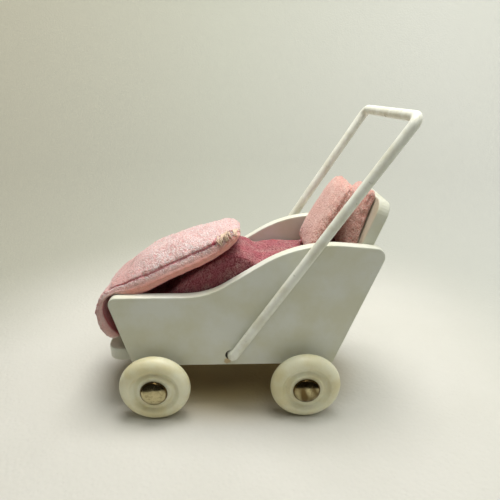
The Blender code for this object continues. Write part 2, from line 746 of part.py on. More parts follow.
def upright_cushion(name, foot, lean, size, taper, flat_back, finish, parts):
    """A stuffed pad that leans back: crowned, drawn in at its sides and sewn round its edge."""
    height, width, top_width, thickness = size
    up = Vector((math.sin(lean), 0.0, math.cos(lean)))
    ahead = Vector((-math.cos(lean), 0.0, math.sin(lean)))
    seam = CUSHION_SEAM * thickness

    def shape(u, v, w):
        crown = ((1 - abs(u) ** 3) * (1 - abs(v) ** 3)) ** 0.6 if max(abs(u), abs(v)) < 1 else 0.0
        plump = seam + (thickness - seam) * crown * (1 - taper * (u + 1) / 2)
        span = width + (top_width - width) * (u + 1) / 2
        across = v * span / 2 * (1 - SIDE_DRAW * (1 - u * u))
        along = height / 2 * (1 + u * (1 - SIDE_DRAW * (1 - v * v)))
        depth = plump * (w + 1) / 2 if flat_back else plump * w / 2
        return foot + up * along + ahead * depth + Vector((0.0, across, 0.0))

    soft_object(name, (5, 5, 1), shape, parts, finish)


def build_back_pad(parts):
    """The pad that lines the back board, thinner and narrower towards its top."""
    foot_height = FRONT_HEIGHT + REST_HEIGHT + SOFT_GAP
    face = Vector((back_board_front_x(foot_height), 0.0, UNDERSIDE + foot_height))
    ahead = Vector((-math.cos(BACK_LEAN), 0.0, math.sin(BACK_LEAN)))
    size = (BACK_PAD_HEIGHT, BACK_PAD_WIDTH, BACK_PAD_TOP_WIDTH, BACK_PAD_THICKNESS)
    upright_cushion("back_pad", face + ahead * SOFT_GAP, BACK_LEAN, size, BACK_PAD_TAPER, True,
                    DUSTY_TERRY, parts)


def build_pillow(parts):
    """A plump pillow that leans on the back pad, further over than the pad does."""
    foot_height = FRONT_HEIGHT + REST_HEIGHT + PILLOW_FOOT_GAP
    foot = Vector((back_board_front_x(foot_height) - PILLOW_AHEAD, 0.0, UNDERSIDE + foot_height))
    size = (PILLOW_HEIGHT, PILLOW_WIDTH, PILLOW_TOP_WIDTH, PILLOW_THICKNESS)
    upright_cushion("pillow", foot, BACK_LEAN + math.radians(PILLOW_LEAN), size, 0.0, False,
                    TERRY, parts)


def main():
    """Builds every piece of the pushchair."""
    clear_scene()
    parts = make_collection(COLLECTION)
    cutters = make_collection("cutters")
    build_side_panels(parts, cutters)
    build_floor_board(parts, cutters)
    build_back_board(parts, cutters)
    build_front_board(parts, cutters)
    build_axle_blocks(parts, cutters)
    build_screws(parts)
    build_axles(parts)
    build_wheels(parts)
    build_washers(parts)
    build_caps(parts)
    build_handle(parts)
    build_mattress(parts)
    build_back_pad(parts)
    build_pillow(parts)
    build_quilt(parts)


main()
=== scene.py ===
"""Looks of a wooden dolls' pushchair with terry bedding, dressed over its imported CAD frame.

Metres, +Z up, the front towards -X. Each sub-assembly is a class that builds its meshes as numpy
surfaces and dresses them, and each finish is a small frozen dataclass.
"""

import json
import logging
import math
from collections.abc import Callable
from dataclasses import dataclass
from enum import Enum
from functools import partial

import bmesh
import bpy
import numpy as np
from mathutils import Matrix, Vector

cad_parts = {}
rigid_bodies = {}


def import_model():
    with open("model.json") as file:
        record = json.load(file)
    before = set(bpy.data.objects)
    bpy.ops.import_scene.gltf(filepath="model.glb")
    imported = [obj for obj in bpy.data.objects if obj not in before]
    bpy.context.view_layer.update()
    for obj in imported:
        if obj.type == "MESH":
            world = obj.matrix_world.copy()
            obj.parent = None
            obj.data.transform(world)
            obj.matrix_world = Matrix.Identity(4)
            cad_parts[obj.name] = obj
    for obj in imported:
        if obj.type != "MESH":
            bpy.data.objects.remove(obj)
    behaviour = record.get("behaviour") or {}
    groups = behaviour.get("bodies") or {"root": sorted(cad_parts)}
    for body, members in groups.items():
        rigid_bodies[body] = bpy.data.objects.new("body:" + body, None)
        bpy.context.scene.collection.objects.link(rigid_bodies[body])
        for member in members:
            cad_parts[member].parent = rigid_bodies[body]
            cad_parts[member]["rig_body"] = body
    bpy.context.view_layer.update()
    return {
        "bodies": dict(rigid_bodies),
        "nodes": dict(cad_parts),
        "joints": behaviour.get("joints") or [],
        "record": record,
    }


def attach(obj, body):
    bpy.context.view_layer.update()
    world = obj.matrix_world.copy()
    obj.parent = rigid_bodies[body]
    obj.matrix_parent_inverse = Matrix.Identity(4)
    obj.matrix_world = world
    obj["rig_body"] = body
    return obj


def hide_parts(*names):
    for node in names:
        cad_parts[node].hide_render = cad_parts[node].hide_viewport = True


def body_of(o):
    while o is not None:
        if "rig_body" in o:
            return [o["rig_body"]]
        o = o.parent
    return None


LOG = logging.getLogger("pushchair")
Socket = bpy.types.NodeSocket
Adder = Callable[..., Socket]

# The CAD tub, in metres. The inner faces of its front and back boards lean outwards, each from
# its X at the height of the floor board's underside, by so much for each metre up.
UNDERSIDE = 0.042
FRONT_INNER, FRONT_SLOPE = -0.080841, 0.26795
BACK_INNER, BACK_SLOPE = 0.057651, 0.36595
# Height of the side panels at the front, how much higher the mattress is behind, and half the
# room between the side panels.
FRONT_TOP = 0.108
SEAT_LIFT = 0.0255
HALF_TUB = 0.036


class Side(Enum):
    """The two sides of the pushchair and their sign along Y."""

    LEFT = -1
    RIGHT = 1


class End(Enum):
    """The two axles and their place along X, in metres."""

    FRONT = -0.0741
    REAR = 0.0539


# Colours and nodes


def linear(colour: str | float) -> tuple[float, float, float, float]:
    """Turns an sRGB hex value into a linear colour, and a number into that grey.

    Args:
        colour: six hex digits after a hash, or a number that is linear already.

    Returns:
        Linear red, green, blue and an alpha of 1.
    """
    if not isinstance(colour, str):
        return colour, colour, colour, 1.0
    parts = [int(colour[i : i + 2], 16) / 255 for i in (1, 3, 5)]
    red, green, blue = [c / 12.92 if c <= 0.04045 else ((c + 0.055) / 1.055) ** 2.4 for c in parts]
    return red, green, blue, 1.0


def add_node(tree: bpy.types.NodeTree, kind: str, settings: dict, output: str | int = 0) -> Socket:
    """Adds a node with its settings and links.

    Args:
        tree: the material's node tree.
        kind: the node's type name without its ShaderNode prefix.
        settings: by input name or number a value, a hex colour or an output socket to link;
            "stops" holds a ramp's places and colours; any other name is an attribute.
        output: the name or number of the output that is wanted.

    Returns:
        That output's socket, or nothing for a node without outputs.
    """
    node = tree.nodes.new("ShaderNode" + kind)
    for key, value in settings.items():
        if key == "stops":
            for place, _ in value[2:]:
                node.color_ramp.elements.new(place)
            for element, (place, colour) in zip(node.color_ramp.elements, value):
                element.position, element.color = place, linear(colour)
        elif isinstance(key, str) and key not in node.inputs:
            setattr(node, key, value)
    for key, value in settings.items():
        if isinstance(value, Socket):
            tree.links.new(value, node.inputs[key])
        elif isinstance(key, int) or key in node.inputs:
            node.inputs[key].default_value = linear(value) if isinstance(value, str) else value
    return node.outputs[output] if node.outputs else None


def coats(add: Adder, colour: Socket, tints: list[tuple[Socket, str | Socket]]) -> Socket:
    """Lays tints over a colour one after another.

    Args:
        add: adds a node to the material.
        colour: the colour beneath.
        tints: pairs of a mask and the tint that it lets through.

    Returns:
        The mixed colour.
    """
    for mask, tint in tints:
        colour = add("Mix", {"data_type": "RGBA", 0: mask, 6: colour, 7: tint}, 2)
    return colour


def relief(add: Adder, layers: list[tuple[Socket, float, float]]) -> Socket:
    """Chains layers of height into one bumped normal.

    Args:
        add: adds a node to the material.
        layers: each layer's height, its strength, and its depth in metres.

    Returns:
        The normal.
    """
    last = {}
    for height, strength, distance in layers:
        settings = {"Height": height, "Strength": strength, "Distance": distance} | last
        last = {"Normal": add("Bump", settings)}
    return last["Normal"]


@dataclass(frozen=True)
class Finish:
    """What every finish shares: its name, and a material whose shader its own nodes feed."""

    name: str

    def make(self) -> bpy.types.Material:
        """Builds the material once and returns it."""
        material = bpy.data.materials.get(self.name)
        if material is None:
            material = bpy.data.materials.new(self.name)
            material.use_nodes = True
            tree = material.node_tree
            tree.nodes.clear()
            surface = add_node(tree, "BsdfPrincipled", self.dress(partial(add_node, tree)))
            add_node(tree, "OutputMaterial", {"Surface": surface})
        return material

    def dress(self, add: Adder) -> dict:
        """Adds the finish's own nodes and returns the shader's inputs; each finish has its own."""
        raise NotImplementedError


@dataclass(frozen=True)
class NitroPaint(Finish):
    """Nitrocellulose enamel sprayed on sanded softwood.

    It gives a soft gloss, a slight yellowing that goes in patches, the grain's faint ridges
    through the film, a few dark specks, paint broken away where the handle's ends turn, and a
    dark painted shade round the holes they turn in. Its two spots are X, Z, radius and fade in
    metres. In front of a leaning plane, given by its X where it meets Z = 0, a board is tinted
    tan as painted shade.
    """

    fresh: str = "#DBDCD3"
    aged: str = "#D3D2BF"
    grime: str = "#8C8268"
    raw: str = "#86602C"
    bare: str = "#BFA982"
    # dark painted shade in and round the hole where the handle turns
    hole_shade: str = "#2A2113"
    # tan painted shade, with pink bounce, on the back board's inner face
    stain_and_shade: str = "#B39A78"
    # X at Z = 0 of the leaning plane in front of which that tan painted shade lies
    shaded_from: float = -1.0
    roughness: float = 0.50
    chipped: tuple[float, ...] = (-0.0128, 0.0462, 0.0010, 0.0032)
    socket: tuple[float, ...] = (-0.0100, 0.0521, 0.0044, 0.0004)

    def spot(self, add: Adder, place: Socket, spot: tuple[float, ...]) -> Socket:
        """1 inside a circle about an axis along Y, falling to 0 over the fade.

        Args:
            add: adds a node to the material.
            place: the object's coordinates.
            spot: X, Z, radius and fade in metres.

        Returns:
            The spot's mask.
        """
        x, z, radius, fade = spot
        flat = add("VectorMath", {"operation": "MULTIPLY", 0: place, 1: (1.0, 0.0, 1.0)})
        away = add("VectorMath", {"operation": "DISTANCE", 0: flat, 1: (x, 0.0, z)}, "Value")
        return add("MapRange", {"Value": away, "From Min": radius + fade, "From Max": radius})

    def wear_and_shade(self, add: Adder, place: Socket) -> list[tuple[Socket, str]]:
        """Masks of the inner face's tan painted shade, chipped paint and painted shade round the
        socket.
        """
        edge = add("TexNoise", {"Vector": place, "Scale": 900.0, "Detail": 3.0})
        chip = add("Math", {"operation": "MULTIPLY", 1: edge,
                            0: self.spot(add, place, self.chipped)})
        broken = add("ValToRGB", {"Fac": chip, "stops": [(0.16, 0.0), (0.26, 0.9)]})
        # painted shade: the back board's inner face, in front of the leaning plane, is tinted tan
        leaning = add("VectorMath", {"operation": "DOT_PRODUCT", 0: place,
                                     1: (1.0, 0.0, -BACK_SLOPE)}, "Value")
        inner = add("MapRange", {"Value": leaning, "From Min": self.shaded_from + 0.0006,
                                 "From Max": self.shaded_from - 0.0012, "To Max": 0.9})
        # the spot round the socket is dark painted shade in the handle's hole
        return [(inner, self.stain_and_shade), (broken, self.bare),
                (self.spot(add, place, self.socket), self.hole_shade)]

    def dress(self, add: Adder) -> dict:
        """Yellowed patches, grain ridges 1.2 mm apart along X, specks and a fine orange peel."""
        place = add("TexCoord", {}, "Object")
        patches = add("TexNoise", {"Vector": place, "Scale": 26.0, "Detail": 5.0,
                                   "Roughness": 0.6})
        body = add("ValToRGB", {"Fac": patches, "stops": [(0.38, self.aged), (0.62, self.fresh)]})
        along = add("Mapping", {"Vector": place, "Scale": (60.0, 800.0, 800.0)})
        grain = add("TexNoise", {"Vector": along, "Scale": 1.0, "Detail": 3.0})
        cells = add("TexVoronoi", {"Vector": place, "Scale": 90.0, "Randomness": 1.0})
        speck = add("ValToRGB", {"Fac": cells, "stops": [(0.028, 1.0), (0.045, 0.0)]})
        rare = add("TexNoise", {"Vector": place, "Scale": 41.0})
        chosen = add("ValToRGB", {"Fac": rare, "stops": [(0.62, 0.0), (0.66, 0.8)]})
        specks = add("Math", {"operation": "MULTIPLY", 0: speck, 1: chosen})
        height = add("SeparateXYZ", {"Vector": place}, "Z")
        low = add("MapRange", {"Value": height, "From Min": 0.060, "From Max": 0.041,
                               "To Max": 0.16})
        soiled = add("Math", {"operation": "MULTIPLY", 0: low, 1: patches})
        dirty = add("Math", {"operation": "MAXIMUM", 0: specks, 1: soiled})
        under = add("MapRange", {"Value": height, "From Min": UNDERSIDE + 0.0006,
                                 "From Max": UNDERSIDE + 0.0002})
        gloss = add("ValToRGB", {"Fac": patches, "stops": [(0.3, self.roughness + 0.08),
                                                           (0.7, self.roughness - 0.05)]})
        peel = add("TexNoise", {"Vector": place, "Scale": 700.0, "Detail": 1.0})
        tints = [(dirty, self.grime), (under, self.raw), *self.wear_and_shade(add, place)]
        return {"Base Color": coats(add, body, tints), "Roughness": gloss,
                "Specular IOR Level": 0.35,
                "Normal": relief(add, [(grain, 0.25, 0.00012), (peel, 0.1, 0.00005)])}


@dataclass(frozen=True)
class RodEnamel(Finish):
    """Dipped enamel on mild steel rod: glossier and cooler than the boards, smudged by hands."""

    clean: str = "#ECEDE3"
    handled: str = "#DDDBCA"
    mark: str = "#6E7058"

    def dress(self, add: Adder) -> dict:
        """Smudged patches about 15 mm long, a few dark rubs, and slow waves of a dipped film."""
        place = add("TexCoord", {}, "Object")
        smudge = add("TexNoise", {"Vector": place, "Scale": 65.0, "Detail": 4.0,
                                  "Roughness": 0.65})
        body = add("ValToRGB", {"Fac": smudge, "stops": [(0.36, self.handled), (0.56, self.clean)]})
        rub = add("TexNoise", {"Vector": place, "Scale": 210.0, "Detail": 2.0, "Distortion": 0.4})
        rubbed = add("ValToRGB", {"Fac": rub, "stops": [(0.70, 0.0), (0.76, 0.55)]})
        gloss = add("ValToRGB", {"Fac": smudge, "stops": [(0.3, 0.42), (0.7, 0.28)]})
        wave = add("TexNoise", {"Vector": place, "Scale": 240.0, "Detail": 1.0})
        return {"Base Color": coats(add, body, [(rubbed, self.mark)]), "Roughness": gloss,
                "Normal": relief(add, [(wave, 0.12, 0.0002)])}


@dataclass(frozen=True)
class IvoryPolystyrene(Finish):
    """Ivory moulded polystyrene: a glossy skin, slightly see-into, yellowed and soiled.

    The attribute "soil" says where dirt has gathered.
    """

    skin: str = "#E2DFC4"
    yellowed: str = "#D6CDA4"
    soil: str = "#9C9068"

    def dress(self, add: Adder) -> dict:
        """Yellowed patches, soil gathered in fine scratches, and a skin that isn't quite even."""
        place = add("TexCoord", {}, "Object")
        cloud = add("TexNoise", {"Vector": place, "Scale": 48.0, "Detail": 4.0, "Roughness": 0.55})
        body = add("ValToRGB", {"Fac": cloud, "stops": [(0.35, self.yellowed), (0.6, self.skin)]})
        scratch = add("TexNoise", {"Vector": place, "Scale": 900.0, "Detail": 3.0,
                                   "Distortion": 1.5})
        marked = add("ValToRGB", {"Fac": scratch, "stops": [(0.66, 0.0), (0.78, 0.45)]})
        dull = add("Attribute", {"attribute_name": "soil"}, "Fac")
        gloss = add("ValToRGB", {"Fac": cloud, "stops": [(0.3, 0.46), (0.7, 0.37)]})
        return {"Base Color": coats(add, body, [(marked, self.soil), (dull, self.soil)]),
                "Roughness": gloss, "IOR": 1.55, "Subsurface Weight": 0.12,
                "Subsurface Radius": (0.004, 0.003, 0.0015), "Subsurface Scale": 1.0,
                "Normal": relief(add, [(cloud, 0.15, 0.0004), (scratch, 0.06, 0.00005)])}


@dataclass(frozen=True)
class ChromedSteel(Finish):
    """Chrome on pressed sheet steel: mirror bright, a little dented and tarnished brown.

    The attribute "tarnish" says where the brown has spread.
    """

    plate: str = "#B3A983"
    tarnish: str = "#625031"

    def dress(self, add: Adder) -> dict:
        """Small dents about 5 mm across, and brown tarnish in patches and veins."""
        place = add("TexCoord", {}, "Object")
        patch = add("TexNoise", {"Vector": place, "Scale": 230.0, "Detail": 6.0,
                                 "Roughness": 0.7, "Distortion": 1.2})
        body = add("ValToRGB", {"Fac": patch, "stops": [(0.50, self.plate), (0.72, self.tarnish)]})
        brown = add("Attribute", {"attribute_name": "tarnish"}, "Fac")
        dull = add("ValToRGB", {"Fac": patch, "stops": [(0.45, 0.15), (0.75, 0.36)]})
        dent = add("TexNoise", {"Vector": place, "Scale": 190.0, "Detail": 1.0})
        return {"Base Color": coats(add, body, [(brown, self.tarnish)]), "Roughness": dull,
                "Metallic": 1.0, "Normal": relief(add, [(dent, 0.12, 0.0008)])}


@dataclass(frozen=True)
class DrawnSteel(Finish):
    """Bright drawn steel with a thin oil stain, for axles, washers and screws."""

    steel: str = "#9D9A92"
    stain_and_shade: str = "#5E4F3A"

    def dress(self, add: Adder) -> dict:
        """Draw lines along Y and brown stains."""
        place = add("TexCoord", {}, "Object")
        along = add("Mapping", {"Vector": place, "Scale": (2500.0, 90.0, 2500.0)})
        lines = add("TexNoise", {"Vector": along, "Scale": 1.0})
        stain_and_shade = add("TexNoise", {"Vector": place, "Scale": 140.0, "Detail": 5.0})
        body = add("ValToRGB", {"Fac": stain_and_shade, "stops": [(0.50, self.steel), (0.70, self.stain_and_shade)]})
        dull = add("ValToRGB", {"Fac": lines, "stops": [(0.3, 0.28), (0.7, 0.46)]})
        return {"Base Color": body, "Roughness": dull, "Metallic": 1.0,
                "Normal": relief(add, [(lines, 0.2, 0.00005)])}


@dataclass(frozen=True)
class BareSoftwood(Finish):
    """Planed spruce left bare under the floor: its growth rings show, greyed by handling."""

    early: str = "#BFA27C"
    late: str = "#8F6B47"

    def dress(self, add: Adder) -> dict:
        """Rings about 4 mm apart that run along Y, with fine pores between them."""
        place = add("TexCoord", {}, "Object")
        along = add("Mapping", {"Vector": place, "Scale": (1.0, 0.08, 1.0),
                                "Rotation": (0.0, 0.35, 0.0)})
        rings = add("TexWave", {"Vector": along, "Scale": 80.0, "Distortion": 3.0, "Detail": 3.0,
                                "Detail Scale": 1.5}, "Fac")
        pores = add("Mapping", {"Vector": place, "Scale": (2200.0, 120.0, 2200.0)})
        fine = add("TexNoise", {"Vector": pores, "Scale": 1.0, "Detail": 2.0})
        body = add("ValToRGB", {"Fac": rings, "stops": [(0.2, self.early), (0.85, self.late)]})
        return {"Base Color": body, "Roughness": 0.7,
                "Normal": relief(add, [(rings, 0.15, 0.0002), (fine, 0.3, 0.0001)])}


@dataclass(frozen=True)
class TerryCloth(Finish):
    """Cotton terry: upright loops about 1 mm apart that catch the light, with painted shade between.

    The attribute "seam" deepens the colour in a sewn crease, partly as painted shade, and as
    painted shade on the back and in the corner's pocket; "band" turns the loops into the
    smoother knitted side band; and the third attribute greys them as painted shade where the
    top slopes away from the light. The piece's UV map is in metres along the cloth.
    """

    tips: str = "#EDE4E3"
    faded: str = "#E4CFCD"
    # painted shade between the loops and in the partings
    gap_shade: str = "#CB9896"
    # the seam's deeper rose, partly painted shade in its crease; also painted shade on the back and
    # in the pocket
    seam_and_shade: str = "#B84E5E"
    band: str = "#E4A194"
    # painted shade where the quilt's top slopes away from the light
    flat: str = "#B47F78"
    glow: str = "#F6DAD8"
    pitch: float = 0.0011
    clump: float = 0.0036
    parted: float = 0.7
    sheen: float = 0.6

    def dress(self, add: Adder) -> dict:
        """Loops one pitch apart that lean together in clumps, painted shade between, creases and a
        band.
        """
        cloth = add("TexCoord", {}, "UV")
        warp = add("TexNoise", {"Vector": cloth, "Scale": 300.0, "Detail": 2.0}, "Color")
        shift = add("VectorMath", {"operation": "MULTIPLY_ADD", 0: warp,
                                   1: (self.pitch, self.pitch, 0.0), 2: cloth})
        loops = add("TexVoronoi", {"Vector": shift, "Randomness": 0.75, "Scale": 1 / self.pitch})
        lean = add("TexNoise", {"Vector": cloth, "Scale": 1 / self.clump, "Detail": 2.0,
                                "Distortion": 1.0})
        off = add("Math", {"operation": "SUBTRACT", 0: lean, 1: 0.5})
        parting = add("Math", {"operation": "ABSOLUTE", 0: off})
        valley = add("ValToRGB", {"Fac": parting, "stops": [(0.0, 1.0), (0.055, 0.0)]})
        fuzz = add("TexNoise", {"Vector": cloth, "Scale": 2600.0, "Detail": 2.0})
        patch = add("TexNoise", {"Vector": cloth, "Scale": 75.0, "Detail": 4.0, "Roughness": 0.6})
        bright = add("ValToRGB", {"Fac": patch, "stops": [(0.35, self.faded), (0.6, self.tips)]})
        worn, smooth, seam = (add("Attribute", {"attribute_name": name}, "Fac")
                              for name in ("worn", "band", "seam"))
        # painted shade: darker between loops and in partings, less on the band
        deep = add("ValToRGB", {"Fac": loops, "stops": [(0.25, 0.0), (0.8, 0.8)]})
        either = add("Math", {"operation": "MULTIPLY_ADD", "use_clamp": True, 0: valley,
                              1: self.parted, 2: deep})
        ridge = add("Math", {"operation": "MULTIPLY_ADD", 0: smooth, 1: -0.75, 2: 1.0})
        depth = add("Math", {"operation": "MULTIPLY", 0: either, 1: ridge})
        raised = add("Math", {"operation": "SUBTRACT", 0: 1.0, 1: depth})
        tints = [(worn, self.flat), (smooth, self.band), (depth, self.gap_shade), (seam, self.seam_and_shade)]
        return {"Base Color": coats(add, bright, tints), "Roughness": 0.95,
                "Specular IOR Level": 0.2, "Sheen Weight": self.sheen, "Sheen Roughness": 0.5,
                "Sheen Tint": self.glow, "Subsurface Weight": 0.4,
                "Subsurface Radius": (0.0075, 0.0034, 0.0028), "Subsurface Scale": 1.0,
                "Normal": relief(add, [(raised, 0.7, 0.0006), (fuzz, 0.4, 0.0003)])}


@dataclass(frozen=True)
class CottonThread(Finish):
    """Twisted cotton embroidery thread, unbleached."""

    yarn: str = "#F0D9C6"
    shade: str = "#CDAA8C"

    def dress(self, add: Adder) -> dict:
        """The twist's shade runs across the thread at about 45 degrees, about a millimetre apart."""
        cloth = add("TexCoord", {}, "UV")
        slant = add("Mapping", {"Vector": cloth, "Rotation": (0.0, 0.0, 0.8)})
        twist = add("TexWave", {"Vector": slant, "Scale": 320.0}, "Fac")
        body = add("ValToRGB", {"Fac": twist, "stops": [(0.2, self.shade), (0.8, self.yarn)]})
        return {"Base Color": body, "Roughness": 0.8, "Sheen Weight": 0.2,
                "Normal": relief(add, [(twist, 0.6, 0.0001)])}


@dataclass(frozen=True)
class BackdropPaper(Finish):
    """Seamless paper, slightly crinkled, with painted light on the wall and a painted shadow
    beneath.
    """

    near: tuple[str, str] = ("#CBC9C2", "#CFCDC7")
    # painted light: the wall's colours, darker towards -X
    wall: tuple[str, str, str] = ("#A7A496", "#B5B6AC", "#C0C1BC")
    # painted brown shadow under the pushchair
    shadow_tint: str = "#A6966E"
    shadow_tint_x: float = -0.00945
    shadow_tint_half: tuple[float, float] = (0.135, 0.080)

    def dress(self, add: Adder) -> dict:
        """Mottled floor, wall painted darker towards -X and lighter higher up, painted shadow oval
        beneath.
        """
        place = add("TexCoord", {}, "Object")
        crinkle = add("TexVoronoi", {"Vector": place, "Scale": 330.0, "feature": "SMOOTH_F1"})
        tone = add("TexNoise", {"Vector": place, "Scale": 9.0, "Detail": 3.0})
        near = add("ValToRGB", {"Fac": tone, "stops": list(zip((0.3, 0.7), self.near))})
        level = add("MapRange", {"Value": add("SeparateXYZ", {"Vector": place}, "X"),
                                 "From Min": -0.55, "From Max": 0.45})
        wall = add("ValToRGB", {"Fac": level, "stops": list(zip((0.0, 0.52, 1.0), self.wall))})
        # painted light: the wall turns lighter higher up
        rise = add("MapRange", {"Value": add("SeparateXYZ", {"Vector": place}, "Z"),
                                "From Min": 0.10, "From Max": 0.42, "To Min": 0.97,
                                "To Max": 1.28})
        wall = add("VectorMath", {"operation": "SCALE", 0: wall, "Scale": rise})
        # painted shadow: an oval under the pushchair tinted brown
        half_x, half_y = self.shadow_tint_half
        oval = add("VectorMath", {"operation": "MULTIPLY_ADD", 0: place,
                                  1: (1 / half_x, 1 / half_y, 0.0),
                                  2: (-self.shadow_tint_x / half_x, 0.0, 0.0)})
        far, shadow_tint = (
            add("MapRange", {"Value": add("VectorMath", {"operation": "LENGTH", 0: span}, "Value"),
                             "From Min": start, "From Max": end,
                             "interpolation_type": "SMOOTHSTEP"})
            for span, start, end in ((place, 0.20, 0.42), (oval, 1.05, 0.35)))
        return {"Base Color": coats(add, near, [(far, wall), (shadow_tint, self.shadow_tint)]),
                "Roughness": 0.8, "Specular IOR Level": 0.2,
                "Normal": relief(add, [(crinkle, 0.5, 0.0006)])}


@dataclass(frozen=True)
class FlagCloth(Finish):
    """Black flag cloth: dull and even, so that what mirrors it is dark."""

    def dress(self, add: Adder) -> dict:
        """One dark colour without gloss."""
        return {"Base Color": "#26221C", "Roughness": 1.0}


# Surfaces as arrays

# The terry pile, in metres: loops of about this height, and partings this deep and far apart.
LOOP_HEIGHT = 0.00012
PARTING_DEPTH, PARTING_PITCH = 0.00034, 0.0075
# The bedding lies this much lower on the right, between these two places along X, where the
# fall fades in over a length.
FALL, FALL_START, FALL_END, FALL_FADE = 0.005, -0.1378, 0.0372, 0.022


def climb(value: np.ndarray, start: float, end: float) -> np.ndarray:
    """0 up to the start, 1 from the end on, straight between them."""
    return np.clip((value - start) / (end - start), 0, 1)


def eased(share: np.ndarray) -> np.ndarray:
    """A share from 0 to 1 eased at both ends, 3 t^2 - 2 t^3."""
    return share * share * (3 - 2 * share)


def bell(value: np.ndarray, width: float) -> np.ndarray:
    """1 at zero, falling off on both sides as exp(-(value / width)^2)."""
    return np.exp(-((value / width) ** 2))


def arch(share: np.ndarray) -> np.ndarray:
    """Height of a quarter circle at a share of its width."""
    return np.sqrt(np.clip(1 - (1 - share) ** 2, 0, 1))


def travel(points: np.ndarray) -> np.ndarray:
    """How far along a line of points each of them is."""
    return np.cumsum(np.r_[0, np.linalg.norm(np.diff(points, axis=0), axis=1)])


def through(rows: np.ndarray, share: np.ndarray) -> np.ndarray:
    """Smooth curve through rows: the Catmull-Rom blend of the four rows round each share.

    Args:
        rows: one row of numbers a station, evenly spaced in share.
        share: places from 0 to 1.

    Returns:
        A row of numbers for each share.
    """
    padded = np.vstack([2 * rows[0] - rows[1], rows, 2 * rows[-1] - rows[-2]])
    at = np.clip(share, 0.0, 1.0) * (len(rows) - 1)
    i = np.minimum(at.astype(int), len(rows) - 2)
    t = (at - i)[..., None]
    p0, p1, p2, p3 = (padded[i + k] for k in range(4))
    return (2 * p1 + (p2 - p0) * t + (2 * p0 - 5 * p1 + 4 * p2 - p3) * t**2
            + (3 * p1 - p0 - 3 * p2 + p3) * t**3) / 2


def waves(points: np.ndarray, length: float, count: int, seed: int) -> np.ndarray:
    """Smooth noise: a sum of sine waves in seeded directions with seeded phases.

    Args:
        points: places, the last axis being coordinates.
        length: the middling wavelength in metres.
        count: how many waves are added, and their sum is divided by the root of this.
        seed: of the random directions and phases.

    Returns:
        Values of about -1 to 1, one a place.
    """
    rng = np.random.default_rng(seed)
    turns = rng.normal(size=(points.shape[-1], count))
    turns *= 2 * math.pi / length / np.linalg.norm(turns, axis=0) * rng.uniform(0.6, 1.6, count)
    return np.sin(points @ turns + rng.uniform(0, 2 * math.pi, count)).sum(-1) / math.sqrt(count)


def round_section(top: int, side: int, bottom: int, even: bool = False) -> list[np.ndarray]:
    """Places round a closed section: over the top, down the right, back under, up the left.

    Args:
        top: points on the top, from left to right.
        side: points on each side.
        bottom: points on the underside.
        even: whether top and bottom points are evenly spaced, or closer towards the sides.

    Returns:
        Across, from -1 at the left to 1 at the right, and level, from 0 below to 1 above.
    """
    over, under = (2 * turn - 1 if even else -np.cos(math.pi * turn)
                   for turn in (np.linspace(0, 1, n, endpoint=False) for n in (top, bottom)))
    band = np.linspace(1, 0, side, endpoint=False)
    return [np.concatenate([over, np.ones(side), -under, -np.ones(side)]),
            np.concatenate([np.ones(top), band, np.zeros(bottom), 1 - band])]


def stations(rows: int, section: list[np.ndarray], start: float = 0.0) -> list[np.ndarray]:
    """Grids of share along, across and level: even rows from a start share to 1 less it."""
    return np.broadcast_arrays(np.linspace(start, 1 - start, rows)[:, None], *section)


def outward(grid: np.ndarray, column: int, towards: list[float]) -> np.ndarray:
    """Unit normals of a closed section grid, the cross product of its steps round and along.

    Args:
        grid: points, rows along and columns round.
        column: one whose middle point shows which way is out.
        towards: the way that point's normal has to go.

    Returns:
        One unit vector a point.
    """
    around = (np.roll(grid, -1, axis=1) - np.roll(grid, 1, axis=1)) / 2
    cross = np.cross(around, np.gradient(grid, axis=0))
    normal = cross / np.maximum(np.linalg.norm(cross, axis=-1, keepdims=True), 1e-12)
    return normal * np.sign(normal[len(grid) // 2, column] @ np.array(towards))


def cloth_of(grid: np.ndarray, column: int) -> tuple[np.ndarray, np.ndarray]:
    """Cloth coordinates in metres: length along one column, and girth round the middle row.

    Args:
        grid: points, rows along and columns round.
        column: the column whose length counts.

    Returns:
        A pair of coordinates for each point, and the girth at each column.
    """
    girth = travel(grid[len(grid) // 2])
    length = travel(grid[:, column])
    return np.stack(np.broadcast_arrays(length[:, None], girth), axis=-1), girth


def pile(cloth: np.ndarray, seed: int) -> np.ndarray:
    """Height of the terry pile: seeded loops, and partings where a smooth noise crosses zero."""
    loops = np.random.default_rng(seed).normal(size=cloth.shape[:2])
    loops = (loops + np.roll(loops, 1, 0) + np.roll(loops, 1, 1)) / 1.73
    parting = bell(waves(cloth, PARTING_PITCH, 26, seed + 1), 0.22)
    return LOOP_HEIGHT * loops - PARTING_DEPTH * parting


def far_fall(x: np.ndarray) -> np.ndarray:
    """How much lower the bedding lies on the right than on the left, at places along X."""
    return FALL * np.minimum(climb(x, FALL_START, FALL_START + FALL_FADE),
                             climb(x, FALL_END, FALL_END - FALL_FADE))


def turned(profile: np.ndarray, steps: int) -> np.ndarray:
    """A turned surface: the profile's radius and height carried round local Z.

    Args:
        profile: radius and height pairs.
        steps: how many places round.

    Returns:
        Grid of points, rows along the profile and columns round.
    """
    turn = np.linspace(0, 2 * math.pi, steps, endpoint=False)
    radius, height = profile[:, :1], profile[:, 1:]
    return np.stack(np.broadcast_arrays(radius * np.cos(turn), radius * np.sin(turn), height),
                    axis=-1)


